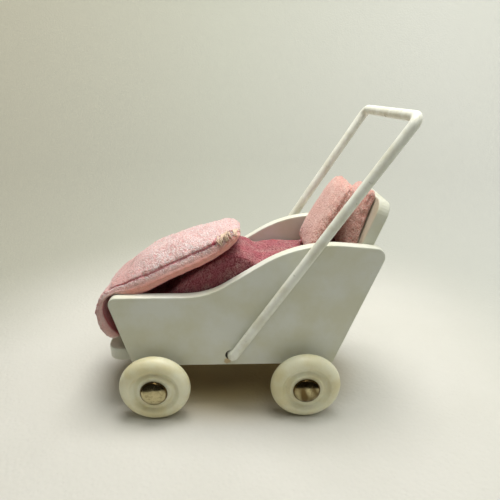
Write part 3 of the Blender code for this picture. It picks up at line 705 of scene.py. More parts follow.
def tube(path: np.ndarray, radius: float | np.ndarray, sides: int) -> np.ndarray:
    """A tube: circles square to a path, their start turned as little as possible on the way.

    Args:
        path: points along the middle.
        radius: one radius, or one a point.
        sides: points round.

    Returns:
        Grid of points, rows along the path and columns round.
    """
    along = np.gradient(path, axis=0)
    along /= np.linalg.norm(along, axis=1, keepdims=True)
    across = np.empty_like(along)
    start = np.cross(along[0], [0.0, 0.0, 1.0])
    across[0] = start / np.linalg.norm(start)
    for i in range(1, len(path)):
        step = across[i - 1] - along[i] * (across[i - 1] @ along[i])
        across[i] = step / np.linalg.norm(step)
    third = np.cross(along, across)
    turn = np.linspace(0, 2 * math.pi, sides, endpoint=False)[:, None]
    circle = across[:, None] * np.cos(turn) + third[:, None] * np.sin(turn)
    return path[:, None] + circle * np.broadcast_to(radius, len(path))[:, None, None]


def rounded(before: np.ndarray, corner: np.ndarray, after: np.ndarray, radius: float,
            steps: int) -> np.ndarray:
    """The arc that rounds a path's corner: tangent to both its sides at the given radius.

    Args:
        before: the point before the corner.
        corner: the sharp corner.
        after: the point after it.
        radius: of the arc.
        steps: how many steps the arc has.

    Returns:
        Points along the arc.
    """
    back = (before - corner) / np.linalg.norm(before - corner)
    ahead = (after - corner) / np.linalg.norm(after - corner)
    half = math.acos(np.clip(back @ ahead, -1, 1)) / 2
    middle = (back + ahead) / np.linalg.norm(back + ahead)
    centre = corner + middle * radius / math.sin(half)
    start = corner + back * radius / math.tan(half) - centre
    sweep = math.pi - 2 * half
    side = corner + ahead * radius / math.tan(half) - centre - start * math.cos(sweep)
    side *= radius / np.linalg.norm(side)
    turn = np.linspace(0, sweep, steps + 1)[:, None]
    return centre + start * np.cos(turn) + side * np.sin(turn)


def finer(values: np.ndarray, rows: int, columns: int) -> np.ndarray:
    """Values of a coarse closed grid spread over a finer one, eased between neighbours.

    Args:
        values: coarse grid, rows along and columns round, with any last axis.
        rows: points along in the fine grid.
        columns: points round in the fine grid.

    Returns:
        The fine grid's values.
    """
    values = np.concatenate([values, values[:, :1]], axis=1)
    along = np.linspace(0, values.shape[0] - 1, rows)
    around = np.linspace(0, values.shape[1] - 1, columns, endpoint=False)
    i = np.minimum(along.astype(int), values.shape[0] - 2)
    j = np.minimum(around.astype(int), values.shape[1] - 2)
    s, t = eased((along - i)[:, None, None]), eased((around - j)[None, :, None])
    low = values[i][:, j] * (1 - t) + values[i][:, j + 1] * t
    high = values[i + 1][:, j] * (1 - t) + values[i + 1][:, j + 1] * t
    return low * (1 - s) + high * s


# Meshes


def corners_of(values: np.ndarray) -> np.ndarray:
    """What each quad between neighbouring grid points has at its four corners, a row a corner."""
    a, b, c, d = values[:-1, :-1], values[:-1, 1:], values[1:, 1:], values[1:, :-1]
    return np.stack([a, b, c, d], axis=2).reshape(-1, values.shape[-1])


def mesh_of(name: str, grid: np.ndarray, closed: tuple[bool, bool] = (False, True),
            cloth: np.ndarray | None = None,
            marks: dict[str, np.ndarray] | None = None) -> bpy.types.Object:
    """Puts a grid of points into a mesh object at the origin, as quads between neighbours.

    Args:
        name: the piece's name.
        grid: points, rows along and columns round.
        closed: whether the last row joins the first, and whether the last column does.
        cloth: UV coordinates in metres, a pair a point; the seam lies at the last column.
        marks: named values, one a point.

    Returns:
        The object, linked to the scene.
    """
    number = np.arange(grid.shape[0] * grid.shape[1]).reshape(grid.shape[:2])
    for axis, joins in enumerate(closed):
        if joins:
            number = np.concatenate([number, number.take([0], axis)], axis)
    corners = corners_of(number[..., None]).ravel()
    mesh = bpy.data.meshes.new(name)
    mesh.vertices.add(grid.shape[0] * grid.shape[1])
    mesh.vertices.foreach_set("co", grid.astype(np.float32).ravel())
    mesh.loops.add(corners.size)
    mesh.loops.foreach_set("vertex_index", corners.astype(np.int32))
    mesh.polygons.add(corners.size // 4)
    mesh.polygons.foreach_set("loop_start", np.arange(0, corners.size, 4, dtype=np.int32))
    mesh.update(calc_edges=True)
    if cloth is not None:
        step = cloth[:, 1:2] - cloth[:, :1]
        places = corners_of(np.concatenate([cloth, cloth[:, -1:] + step], axis=1))
        layer = mesh.uv_layers.new(name="cloth")
        layer.data.foreach_set("uv", places.astype(np.float32).ravel())
    for mark, values in (marks or {}).items():
        attribute = mesh.attributes.new(mark, "FLOAT", "POINT")
        attribute.data.foreach_set("value", values.astype(np.float32).ravel())
    mesh.validate()
    piece = bpy.data.objects.new(name, mesh)
    bpy.context.scene.collection.objects.link(piece)
    return piece


def close_up(piece: bpy.types.Object) -> None:
    """Merges a mesh's doubles, points its faces outwards and shades it smooth."""
    bm = bmesh.new()
    bm.from_mesh(piece.data)
    bmesh.ops.remove_doubles(bm, verts=bm.verts, dist=1e-6)
    bmesh.ops.dissolve_degenerate(bm, edges=bm.edges, dist=1e-7)
    bmesh.ops.recalc_face_normals(bm, faces=bm.faces)
    bm.to_mesh(piece.data)
    bm.free()
    piece.data.shade_smooth()


def place_piece(piece: bpy.types.Object, finish: Finish, body: str, node: str = "") -> None:
    """Closes and dresses a piece, sets it on its body and hides the CAD node it replaces, if any.

    Args:
        piece: the mesh object.
        finish: its finish.
        body: the body that carries it.
        node: the CAD node that it replaces, if there is one.
    """
    close_up(piece)
    piece.data.materials.append(finish.make())
    if node:
        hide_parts(node)
    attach(piece, body)
    LOG.info("%s: %d faces", piece.name, len(piece.data.polygons))


@dataclass
class ClothPress:
    """Swells a closed coarse form by Blender's cloth and gives back how far its points moved."""

    cap: float
    pressure: float = 4.0
    growth: float = 0.04
    frames: int = 20
    enlarge: float = 8.0

    def swell(self, form: np.ndarray, held: np.ndarray, shape: tuple[int, int]) -> np.ndarray:
        """Runs the cloth and spreads its movement over a finer grid.

        Args:
            form: the coarse form's points in metres, rows along and columns round.
            held: whether each point stays where it is.
            shape: rows and columns of the finer grid.

        Returns:
            How far each of the finer grid's points moves, in metres, no further than the cap.
        """
        piece = mesh_of("cloth_trial", form * self.enlarge)
        group = piece.vertex_groups.new(name="held")
        group.add(np.flatnonzero(held).tolist(), 1.0, "REPLACE")
        cloth = piece.modifiers.new("cloth", "CLOTH")
        for name, value in {"quality": 5, "mass": 0.3, "tension_stiffness": 15.0,
                            "compression_stiffness": 15.0, "bending_stiffness": 0.3,
                            "use_pressure": True, "uniform_pressure_force": self.pressure,
                            "shrink_min": -self.growth, "vertex_group_mass": "held"}.items():
            setattr(cloth.settings, name, value)
        cloth.settings.effector_weights.gravity = 0.0
        cloth.point_cache.frame_start = 1
        cloth.point_cache.frame_end = self.frames
        scene = bpy.context.scene
        for frame in range(1, self.frames + 1):
            scene.frame_set(frame)
        seen = piece.evaluated_get(bpy.context.evaluated_depsgraph_get())
        found = np.empty(form.size, np.float32)
        seen.data.vertices.foreach_get("co", found)
        bpy.data.objects.remove(piece, do_unlink=True)
        scene.frame_set(1)
        moved = found.reshape(form.shape) / self.enlarge - form
        far = np.linalg.norm(moved, axis=-1, keepdims=True)
        moved = np.nan_to_num(moved) * np.minimum(1.0, self.cap / np.maximum(far, 1e-9))
        LOG.info("cloth moved its points %.2f mm at most", 1000 * float(far.max()))
        return finer(moved, *shape)


# The pieces


@dataclass
class Woodwork:
    """The boards, blocks and steel, which are CAD nodes and only get their finishes."""

    paint: NitroPaint = NitroPaint("nitro_enamel_on_softwood")
    # the back board, whose inner face gets a tan painted shade
    back: NitroPaint = NitroPaint("nitro_enamel_stained_inside", shaded_from=0.0426)
    bare: BareSoftwood = BareSoftwood("planed_spruce")
    steel: DrawnSteel = DrawnSteel("drawn_steel")

    def build(self, nodes: dict[str, bpy.types.Object]) -> None:
        """Gives each node the finish of the first word that its name holds."""
        finishes = {"back_board": self.back, "_board": self.paint, "side_panel": self.paint,
                    "_screw": self.steel, "_washer": self.steel, "_block": self.bare,
                    "_axle": self.steel}
        for name, node in nodes.items():
            finish = next((finishes[word] for word in finishes if word in name), None)
            if finish:
                node.data.materials.clear()
                node.data.materials.append(finish.make())
                LOG.info("%s: %s", name, finish.name)


@dataclass
class Wheels:
    """Four moulded wheels with their pressed caps, turned finer than the CAD facets."""

    radius: float = 0.030
    width: float = 0.0146
    shoulder: float = 0.0085
    dish_depth: float = 0.0028
    dish_radius: float = 0.0172
    hub_radius: float = 0.0135
    hub_face: float = 0.0065
    bore: float = 0.0028
    boss_radius: float = 0.0080
    boss_end: float = 0.0122
    ease: float = 0.0020
    track: float = 0.0588
    cap_radius: float = 0.0115
    cap_roll: float = 0.0006
    cap_rise: float = 0.0036
    cap_gap: float = 0.0003
    plastic: IvoryPolystyrene = IvoryPolystyrene("moulded_ivory_polystyrene")
    chrome: ChromedSteel = ChromedSteel("chromed_pressed_steel")

    def wheel_profile(self) -> np.ndarray:
        """Closed half section: hub face, eased step, dish, full round rim, dish, boss and bore."""
        half = self.width / 2
        crest = self.radius - self.shoulder
        dish = half - self.dish_depth
        parts = [[[self.bore + self.ease, self.hub_face]]]
        for share, radii, heights in (
            (np.linspace(0, 1, 13), (self.hub_radius, self.dish_radius), (self.hub_face, dish)),
            (np.linspace(0, 1, 11)[1:-1], (self.dish_radius, crest), (dish, half)),
        ):
            parts.append(np.stack([radii[0] + (radii[1] - radii[0]) * share,
                                   heights[0] + (heights[1] - heights[0]) * eased(share)], axis=1))
        turn = np.linspace(math.pi / 2, -math.pi / 2, 49)
        rim = np.stack([crest + self.shoulder * np.cos(turn), half * np.sin(turn)], axis=1)
        back = [[self.dish_radius, -dish], [self.boss_radius + self.ease, -dish],
                [self.boss_radius, -dish - self.ease], [self.boss_radius, -self.boss_end],
                [self.bore, -self.boss_end], [self.bore, self.hub_face]]
        return np.vstack([*parts, rim, back])

    def cap_profile(self) -> np.ndarray:
        """Half section of a cap: a pressed dome, a rolled rim and a flat back."""
        turn = np.linspace(0, math.pi / 2, 22)
        dome = np.stack([self.cap_radius * 0.965 * np.sin(turn),
                         2 * self.cap_roll + self.cap_rise * np.cos(turn)], axis=1)
        roll = np.linspace(0.5 * math.pi, -0.5 * math.pi, 9)
        rim = np.stack([self.cap_radius - self.cap_roll + self.cap_roll * np.cos(roll),
                        self.cap_roll + self.cap_roll * np.sin(roll)], axis=1)
        return np.vstack([dome, rim, [[0.0, 0.0]]])

    def build(self) -> None:
        """Turns each wheel and its cap, stands them on their axle line and dresses them."""
        for end in End:
            for side in Side:
                self.wheel(end, side)
                self.cap(end, side)

    def stand(self, grid: np.ndarray, end: End, side: Side, out: float) -> np.ndarray:
        """Turns a grid's local Z to point away from the body, at a place along the axle."""
        return np.stack([end.value + grid[..., 0], side.value * (out + grid[..., 2]),
                         self.radius + grid[..., 1]], axis=-1)

    def wheel(self, end: End, side: Side) -> None:
        """One wheel in place of its CAD node, with soil gathered round its hub."""
        profile = self.wheel_profile()
        grid = self.stand(turned(profile, 144), end, side, self.track)
        radius, height = profile[:, :1], profile[:, 1:]
        near = 1 - climb(np.abs(radius - self.hub_radius - 0.001), 0, 0.0025)
        soil = 0.08 * near * (height > 0) * (0.6 + 0.4 * waves(grid, 0.012, 8, 3))
        body = f"{end.name}_wheel_{side.name}".lower()
        piece = mesh_of(body + "_moulding", grid, (True, True), marks={"soil": soil})
        place_piece(piece, self.plastic, body, body)

    def cap(self, end: End, side: Side) -> None:
        """One cap, tarnished at its rolled rim, and all over on the rear axle."""
        profile = self.cap_profile()
        out = self.track + self.hub_face + self.cap_gap
        grid = self.stand(turned(profile, 96), end, side, out)
        brown = (end is End.REAR) * np.clip(0.7 + 0.5 * waves(grid, 0.009, 8, 12), 0, 1)
        tarnish = np.maximum(brown, climb(profile[:, :1] / self.cap_radius, 0.84, 0.92))
        node = f"{end.name}_cap_{side.name}".lower()
        piece = mesh_of(node + "_dome", grid, marks={"tarnish": tarnish})
        place_piece(piece, self.chrome, body_of(bpy.data.objects[node])[0], node)


@dataclass
class Handle:
    """The U of enamelled rod, swept finer than the CAD facets."""

    radius: float = 0.004
    pivot: tuple[float, float, float] = (-0.0087, 0.0, 0.0523)
    arm: float = 0.0500
    tip: float = 0.0363
    grip: float = 0.0612
    reach: float = 0.1280
    rise: float = 0.1970
    skew: float = 0.0024
    foot_bend: float = 0.0050
    grip_bend: float = 0.0075
    enamel: RodEnamel = RodEnamel("dipped_enamel_on_steel_rod")

    def path(self) -> np.ndarray:
        """The rod's middle: in through one panel, up, across and down, each corner rounded."""
        arm = np.array([self.reach, 0.0, self.rise])
        skew = arm / np.linalg.norm(arm) * self.skew
        across = np.array([0.0, 1.0, 0.0])
        corners = np.array([-self.tip * across, -self.arm * across,
                            arm + skew - self.grip * across, arm - skew + self.grip * across,
                            self.arm * across, self.tip * across])
        parts = [corners[:1]]
        for i, bend in enumerate((self.foot_bend, self.grip_bend, self.grip_bend, self.foot_bend)):
            arc = rounded(*corners[i : i + 3], bend, 16)
            gap = arc[0] - parts[-1][-1]
            count = max(2, int(np.linalg.norm(gap) / 0.004))
            parts += [parts[-1][-1] + gap * np.linspace(0, 1, count + 1)[1:-1, None], arc]
        return np.vstack([*parts, corners[-1:]]) + np.array(self.pivot)

    def build(self) -> None:
        """Sweeps the rod, closes its ends with a flat face and dresses it."""
        path = self.path()
        grid = tube(path, self.radius, 40)
        shares = np.array([0.0, 0.85])[:, None, None]
        grid = np.concatenate([path[0] + (grid[:1] - path[0]) * shares, grid,
                               path[-1] + (grid[-1:] - path[-1]) * shares[::-1]])
        place_piece(mesh_of("handle_rod", grid), self.enamel, "handle", "handle")


@dataclass
class Bedding:
    """What the soft pieces share: a closed skin, given by points on its sections."""

    def section(self, share: np.ndarray, across: np.ndarray, level: np.ndarray) -> np.ndarray:
        """Points of the skin; each piece has its own.

        Args:
            share: places along, from 0 at one end to 1 at the other.
            across: places from -1 at the left edge to 1 at the right one.
            level: 0 on the underside or the back and 1 on the top or the front.

        Returns:
            Points, one for each set of values.
        """
        raise NotImplementedError

    def swell(self, cap: float, rows: int, section: list[np.ndarray], start: float, held: float,
              shape: tuple[int, int]) -> np.ndarray:
        """How far cloth swells the fine skin, found on a coarse copy of it.

        Args:
            cap: the furthest that a point may move, in metres.
            rows: the copy's rows.
            section: across and level values round the copy.
            start: share at which the copy starts. Over 0 it leaves the ends open, because
                cloth doesn't run on edges without length.
            held: level below which the copy stays where it is.
            shape: rows and columns of the fine skin.

        Returns:
            Movement in metres of each point of the fine skin.
        """
        coarse = stations(rows, section, start)
        return ClothPress(cap).swell(self.section(*coarse), coarse[2] < held, shape)


@dataclass
class Quilt(Bedding):
    """A padded terry quilt: top and back sewn to a side band, plump, and bent over the front.

    Its near upper corner is gathered and overcast with blanket stitches. Each row of its line
    holds X, height over the tub's front, the band's height and the crown, all in metres.
    """

    line: tuple = ((0.0002, 0.0440, 0.0040, 0.0010), (-0.0108, 0.0370, 0.0098, 0.0040),
                   (-0.0298, 0.0258, 0.0124, 0.0096), (-0.0528, 0.0155, 0.0118, 0.0128),
                   (-0.0728, 0.0075, 0.0105, 0.0124), (-0.0908, 0.0020, 0.0090, 0.0074),
                   (-0.1043, 0.0004, 0.0058, 0.0012), (-0.1138, -0.0060, 0.0040, 0.0000),
                   (-0.1163, -0.0180, 0.0065, 0.0005), (-0.1118, -0.0310, 0.0100, 0.0020),
                   (-0.1038, -0.0400, 0.0080, 0.0020))
    width: float = 0.0716
    overlap: float = 0.0008
    bulge: float = 0.0012
    near_bulge: float = 0.0012
    sag: float = 0.0042
    pinch: float = 0.0036
    curl: float = 0.0052
    corner: float = 0.009
    length: float = 0.195
    rows: int = 320
    top: int = 120
    side: int = 24
    bottom: int = 60
    seam_depth: float = 0.0005
    seam_width: float = 0.0007
    pucker_height: float = 0.0005
    slack_height: float = 0.0005
    folds: int = 11
    fold_height: float = 0.0005
    fold_reach: float = 0.011
    fold_start: float = 0.010
    pocket_depth: float = 0.0012
    pocket_width: float = 0.0011
    pocket_from: tuple[float, float] = (0.0165, 0.0005)
    pocket_step: tuple[float, float] = (-0.0050, 0.0055)
    gather: float = 0.115
    crossings: int = 17
    stitch_height: float = 0.0019
    thread_radius: float = 0.00058
    terry: TerryCloth = TerryCloth("cotton_terry_pink")
    thread: CottonThread = CottonThread("cotton_embroidery_thread")

    def section(self, share: np.ndarray, across: np.ndarray, level: np.ndarray) -> np.ndarray:
        """Points of the quilt's skin.

        The path's point, plus the outward normal times the thickness at that place, which is
        the side band's height and a crown that falls to the seams, plus the place across.
        Both ends close over a few millimetres and their corners round off by a quarter circle.
        On the left the band sags under its middle, and the upper corner curls and is pinched.
        Share runs from the upper end to the hem.
        """
        rows = np.array(self.line)
        x, rise, side, crown = np.moveaxis(through(rows, share), -1, 0)
        ahead = (through(rows, share + 0.01) - through(rows, share - 0.01))[..., :2]
        ahead /= np.linalg.norm(ahead, axis=-1, keepdims=True)
        to_end = np.minimum(share, 1 - share)
        closing = arch(climb(to_end, 0, 0.030))
        dome = np.clip(1 - across**2, 0, 1) ** 0.55
        left = climb(across, 1, -1)
        pinch = self.pinch * bell(share - 0.05, 0.055) * left**4
        high = side + crown * dome + pinch * (1 - 0.5 * dome)
        low = self.sag * bell(share - 0.47, 0.11) * left**8
        thick = side / 2 + (level * high - side / 2) * closing - low * (1 - level) ** 2
        bulge = (self.bulge + self.near_bulge * (across < 0)) * (1 - (2 * level - 1) ** 2) * closing
        draw = self.corner * (1 - arch(climb(to_end * self.length, 0, self.corner)))
        half = self.width / 2 - 0.0006
        reach = half + bulge - draw * np.where(share < 0.5, 1.0, 0.5)
        lift = self.curl * bell(share, 0.085) * left**3 - far_fall(x) * (across + 1) / 2
        return np.stack([x + ahead[..., 1] * thick,
                         half - HALF_TUB - self.overlap + across * reach,
                         FRONT_TOP + rise - ahead[..., 0] * thick + lift], axis=-1)

    def build(self) -> None:
        """Shapes the quilt, lets cloth swell it, then presses in seams, folds and loops."""
        s, v, w = stations(self.rows, round_section(self.top, self.side, self.bottom))
        swell = self.swell(0.0009, 56, round_section(26, 4, 12), 0.01, 0.3, s.shape)
        edge = climb(np.minimum(s, 1 - s), 0, 0.012)
        grid = self.section(s, v, w) + swell * edge[..., None]
        normal = outward(grid, self.top // 2, [0, 0, 1])
        cloth, girth = cloth_of(grid, self.top // 2)
        seams = np.cumsum([0, self.top, self.side, self.bottom])
        near = [np.abs(self.round_from(girth, girth, girth[seam])) for seam in seams]
        seam = np.broadcast_to(bell(np.min(near, axis=0), self.seam_width), s.shape)
        fold, pocket = self.gathers(cloth, girth)
        upper = (w > 0.999) * 1.0
        knit = 1 - climb(s, 0.5, 0.62) * 0.5
        band = climb(w, 0.92, 0.42) * (np.abs(v) > 0.999) * knit + (w < 0.001) * 1.0
        pucker = waves(cloth * [1.0, 0.15], 0.009, 10, 5)
        slack = waves(cloth * [0.6, 1.0], 0.026, 12, 9)
        near_seam = bell((1 - np.abs(v)) * self.width / 2, 0.006)
        move = fold - self.pocket_depth * pocket - self.seam_depth * seam * (1 + 0.4 * pucker)
        move += self.pucker_height * pucker * near_seam * (0.3 + 0.7 * upper)
        move += self.slack_height * slack * (w > 0.3) + pile(cloth, 21) * (1 - 0.65 * band)
        grid = grid + normal * (move * edge)[..., None]
        # painted shade: the back and the corner's pocket take the seam's deeper rose
        back = 0.85 * climb(w, 0.12, 0)
        marks = {"seam": np.clip(np.maximum(seam * 0.6, back) + pocket, 0, 1), "band": band,
                 # painted shade on the top where it slopes down to the front
                 "worn": 0.75 * bell(s - 0.56, 0.13) * upper}
        piece = mesh_of("quilt_terry", grid, cloth=cloth, marks=marks)
        place_piece(piece, self.terry, "body", "quilt")
        self.stitches(grid, normal)

    def round_from(self, girth: np.ndarray, place: np.ndarray, start: float) -> np.ndarray:
        """How far places round the section are from a start, the short way, with its sign."""
        total = girth[-1] + girth[1]
        return (place - start + total / 2) % total - total / 2

    def gathers(self, cloth: np.ndarray, girth: np.ndarray) -> tuple[np.ndarray, np.ndarray]:
        """Folds that fan out from the stitched corner, and the pocket where they begin.

        A fold's height is a sine of the angle round the corner, fading with distance; the
        pocket falls off with distance from a short line that runs in from the seam.

        Args:
            cloth: places along and around in metres.
            girth: the places around of the columns.

        Returns:
            Heights in metres and the pocket's depth from 0 to 1.
        """
        round_by = self.round_from(girth, cloth[..., 1], 0.0)
        along = cloth[..., 0] - self.fold_start
        far = np.hypot(along, round_by)
        wave = np.sin(self.folds * np.arctan2(round_by, along))
        fan = self.fold_height * wave * bell(far, self.fold_reach) * climb(far, 0, 0.004)
        (x, y), (step_x, step_y) = self.pocket_from, self.pocket_step
        at = climb(round_by, y, y + step_y)
        line = np.hypot(along - x - step_x * at, round_by - y - step_y * at)
        return fan, bell(line, self.pocket_width)

    def stitches(self, grid: np.ndarray, normal: np.ndarray) -> None:
        """Overcast stitches round the corner: one thread that crosses the seam to and fro.

        Each crossing is a straight line between a place on the top and one on the band, raised
        along the seam's normal by a sine, so that it bridges the crease. The thread narrows
        at its two ends.

        Args:
            grid: the quilt's points.
            normal: its outward normals.
        """
        rng = np.random.default_rng(33)
        count = self.crossings
        row = np.linspace(0.006, self.gather, count) * (self.rows - 1)
        upper = np.clip(row + rng.uniform(-2.5, 2.5, count), 0, None).astype(int)
        lower = np.clip(row + 2.2 + rng.uniform(-2.5, 2.5, count), 0, None).astype(int)
        top = grid[upper, rng.integers(14, 25, count)]
        low = grid[lower, -rng.integers(6, 14, count)]
        ends = np.stack([top, low], axis=1).reshape(-1, 3)
        out = np.repeat(normal[row.astype(int), 0], 2, axis=0)
        share = np.linspace(0, 1, 12, endpoint=False)[:, None]
        lift = 0.0002 + self.stitch_height * np.sin(math.pi * share)
        path = np.vstack([a + (b - a) * share + n * lift
                          for a, b, n in zip(ends[:-1], ends[1:], out)])
        whole = np.linspace(0, 1, len(path))
        narrow = np.clip(np.minimum(whole, 1 - whole) * 12, 0.03, 1)
        tubing = tube(path, self.thread_radius * narrow, 10)
        turn = np.linspace(0, 2 * math.pi * self.thread_radius, 10, endpoint=False)
        cloth = np.stack(np.broadcast_arrays(travel(path)[:, None], turn), axis=-1)
        place_piece(mesh_of("corner_stitches", tubing, cloth=cloth), self.thread, "body")


@dataclass
class SewnPad(Bedding):
    """A stuffed terry pad of two sheets sewn together at their edge, leaning on what is behind."""

    name: str
    node: str
    foot: np.ndarray
    lean: float
    height: float
    width: float
    top_width: float
    thickness: float
    seed: int
    taper: float = 0.0
    flat_back: bool = False
    corner: float = 0.09
    seam_share: float = 0.25
    seam_width: float = 0.0012
    pucker_height: float = 0.0003
    fold_height: float = 0.0004
    rows: int = 170
    front: int = 100
    edge: int = 24
    back: int = 46
    # its gap colour is painted shade between the loops
    terry: TerryCloth = TerryCloth("cotton_terry_dusty", tips="#EACBC0", faded="#DFB7AB",
                                   gap_shade="#B87468", seam_and_shade="#A0564E", pitch=0.0010, parted=0.12)

    def loop(self, front: int, edge: int, back: int) -> list[np.ndarray]:
        """Across and level values round a section whose edges bulge past the sheets."""
        across, level = round_section(front, edge, back)
        return [across * (0.97 + 0.03 * np.sin(math.pi * level)), level]

    def section(self, share: np.ndarray, across: np.ndarray, level: np.ndarray) -> np.ndarray:
        """Points of the closed skin: up the pad, across, and out by its crown to either side.

        The crown is a rounded square dome, so the pad is thin at its sewn edge, and its ends
        round off. Each edge draws in towards its ends by an eighth power, which rounds the
        corners. Share runs up from the foot.
        """
        end = -np.cos(share * math.pi)
        w = (2 * level - 1) * np.sqrt(np.clip(1 - np.abs(end) ** 40, 0, 1))
        u, v = end * 0.985, across
        dome = (np.clip(1 - np.abs(u) ** 3, 0, 1) * np.clip(1 - np.abs(v) ** 3, 0, 1)) ** 0.6
        seam = self.seam_share * self.thickness
        plump = seam + (self.thickness - seam) * dome * (1 - self.taper * (u + 1) / 2)
        span = self.width + (self.top_width - self.width) * (u + 1) / 2
        sideways = v * span / 2 * (1 - 0.03 * (1 - u * u) - self.corner * u**8)
        along = self.height / 2 * (1 + u * (1 - 0.03 * (1 - v * v) - self.corner * v**8))
        depth = plump * (w + self.flat_back) / 2
        lean = self.lean
        frame = np.array([[math.sin(lean), 0.0, math.cos(lean)], [0.0, 1.0, 0.0],
                          [-math.cos(lean), 0.0, math.sin(lean)]])
        return self.foot + np.stack([along, sideways, depth], axis=-1) @ frame

    def build(self) -> None:
        """Shapes the pad, lets cloth swell it, then adds the seam, puckers and loops."""
        s, v, w = stations(self.rows, self.loop(self.front, self.edge, self.back))
        swell = self.swell(0.0010, 28, self.loop(18, 2, 10), 0.0, 0.05, s.shape)
        fade = climb(np.minimum(s, 1 - s), 0, 0.04)
        grid = self.section(s, v, w) + swell * fade[..., None]
        ahead = [-math.cos(self.lean), 0.0, math.sin(self.lean)]
        normal = outward(grid, self.front // 2, ahead)
        cloth, _ = cloth_of(grid, self.front // 2)
        rim = (1 - np.maximum(np.abs(v), np.abs(np.cos(s * math.pi)))) * self.width / 2
        pucker = waves(grid, 0.008, 10, self.seed)
        fold = waves(grid * [1, 1, 0.5], 0.026, 10, self.seed + 1)
        move = self.pucker_height * pucker * bell(rim, 0.007) + self.fold_height * fold
        move += 0.5 * pile(cloth, self.seed)
        grid = grid + normal * (move * fade)[..., None]
        # the seam's deeper rose along the front sheet's edge, partly painted shade in its crease
        piece = mesh_of(self.name, grid, cloth=cloth,
                        marks={"seam": 0.12 * bell(rim, self.seam_width) * (w > 0.76)})
        place_piece(piece, self.terry, "body", self.node)


@dataclass
class Mattress(Bedding):
    """The seat cushion that fills the tub, humped under the quilt.

    Each row of its line holds X and the top's height over the tub's front, in metres.
    """

    line: tuple = ((-0.0978, -0.0120), (-0.0778, -0.0082), (-0.0648, -0.0030), (-0.0528, 0.0069),
                   (-0.0398, 0.0173), (-0.0248, 0.0276), (-0.0098, 0.0351), (0.0062, 0.0338),
                   (0.0222, 0.0272), (0.0472, SEAT_LIFT), (0.0722, SEAT_LIFT), (0.1022, 0.0350))
    base: float = 0.0543
    gap: float = 0.0010
    sunk: float = 0.0012
    crown: float = 0.0035
    fold_height: float = 0.0004
    rows: int = 240
    top: int = 120
    side: int = 40
    bottom: int = 24
    # its gap colour is painted shade between the loops
    terry: TerryCloth = TerryCloth("cotton_terry_rose", tips="#B0656E", faded="#BC938F",
                                   gap_shade="#7A3842", sheen=0.15, band="#B98078")

    def section(self, share: np.ndarray, across: np.ndarray, level: np.ndarray) -> np.ndarray:
        """Points of the skin, from the top line down to the floor board, ends along the boards.

        The line's ends are drawn to the boards by the cube of the share. Share runs from the
        front board to the back board.
        """
        x, lift = np.moveaxis(through(np.array(self.line), share), -1, 0)
        fall = self.crown * np.abs(across) ** 3 + far_fall(x) * (across + 1) / 2 + self.sunk
        z = self.base + level * (FRONT_TOP + lift - fall - self.base)
        front = FRONT_INNER - FRONT_SLOPE * (z - UNDERSIDE) + self.gap
        rear = BACK_INNER + BACK_SLOPE * (z - UNDERSIDE) - self.gap
        x = x + (front - self.line[0][0]) * (1 - share) ** 3 + (rear - self.line[-1][0]) * share**3
        y = across * (HALF_TUB - self.gap) * (1 - 0.02 * level)
        return np.stack([x, y, z], axis=-1)

    def build(self) -> None:
        """Shapes the cushion, rounds its edges and presses in its folds and loops."""
        s, v, level = stations(self.rows, round_section(self.top, self.side, self.bottom, True))
        w = 0.5 + (level - 0.5) * np.sqrt(np.clip(1 - np.abs(2 * s - 1) ** 60, 0, 1))
        corner = climb(np.abs(v), 0.94, 1) * climb(w, 0.9, 1)
        grid = self.section(s, v * (1 - 0.03 * corner), w - 0.02 * corner)
        normal = outward(grid, self.top // 2, [0, 0, 1])
        cloth, _ = cloth_of(grid, self.top // 2)
        edge = climb(np.minimum(s, 1 - s), 0, 0.03) * (w > 0.6)
        move = (pile(cloth, 8) + self.fold_height * waves(grid, 0.022, 12, 31)) * edge
        grid = grid + normal * move[..., None]
        piece = mesh_of("mattress_terry", grid, cloth=cloth)
        place_piece(piece, self.terry, "body", "mattress")


# The studio


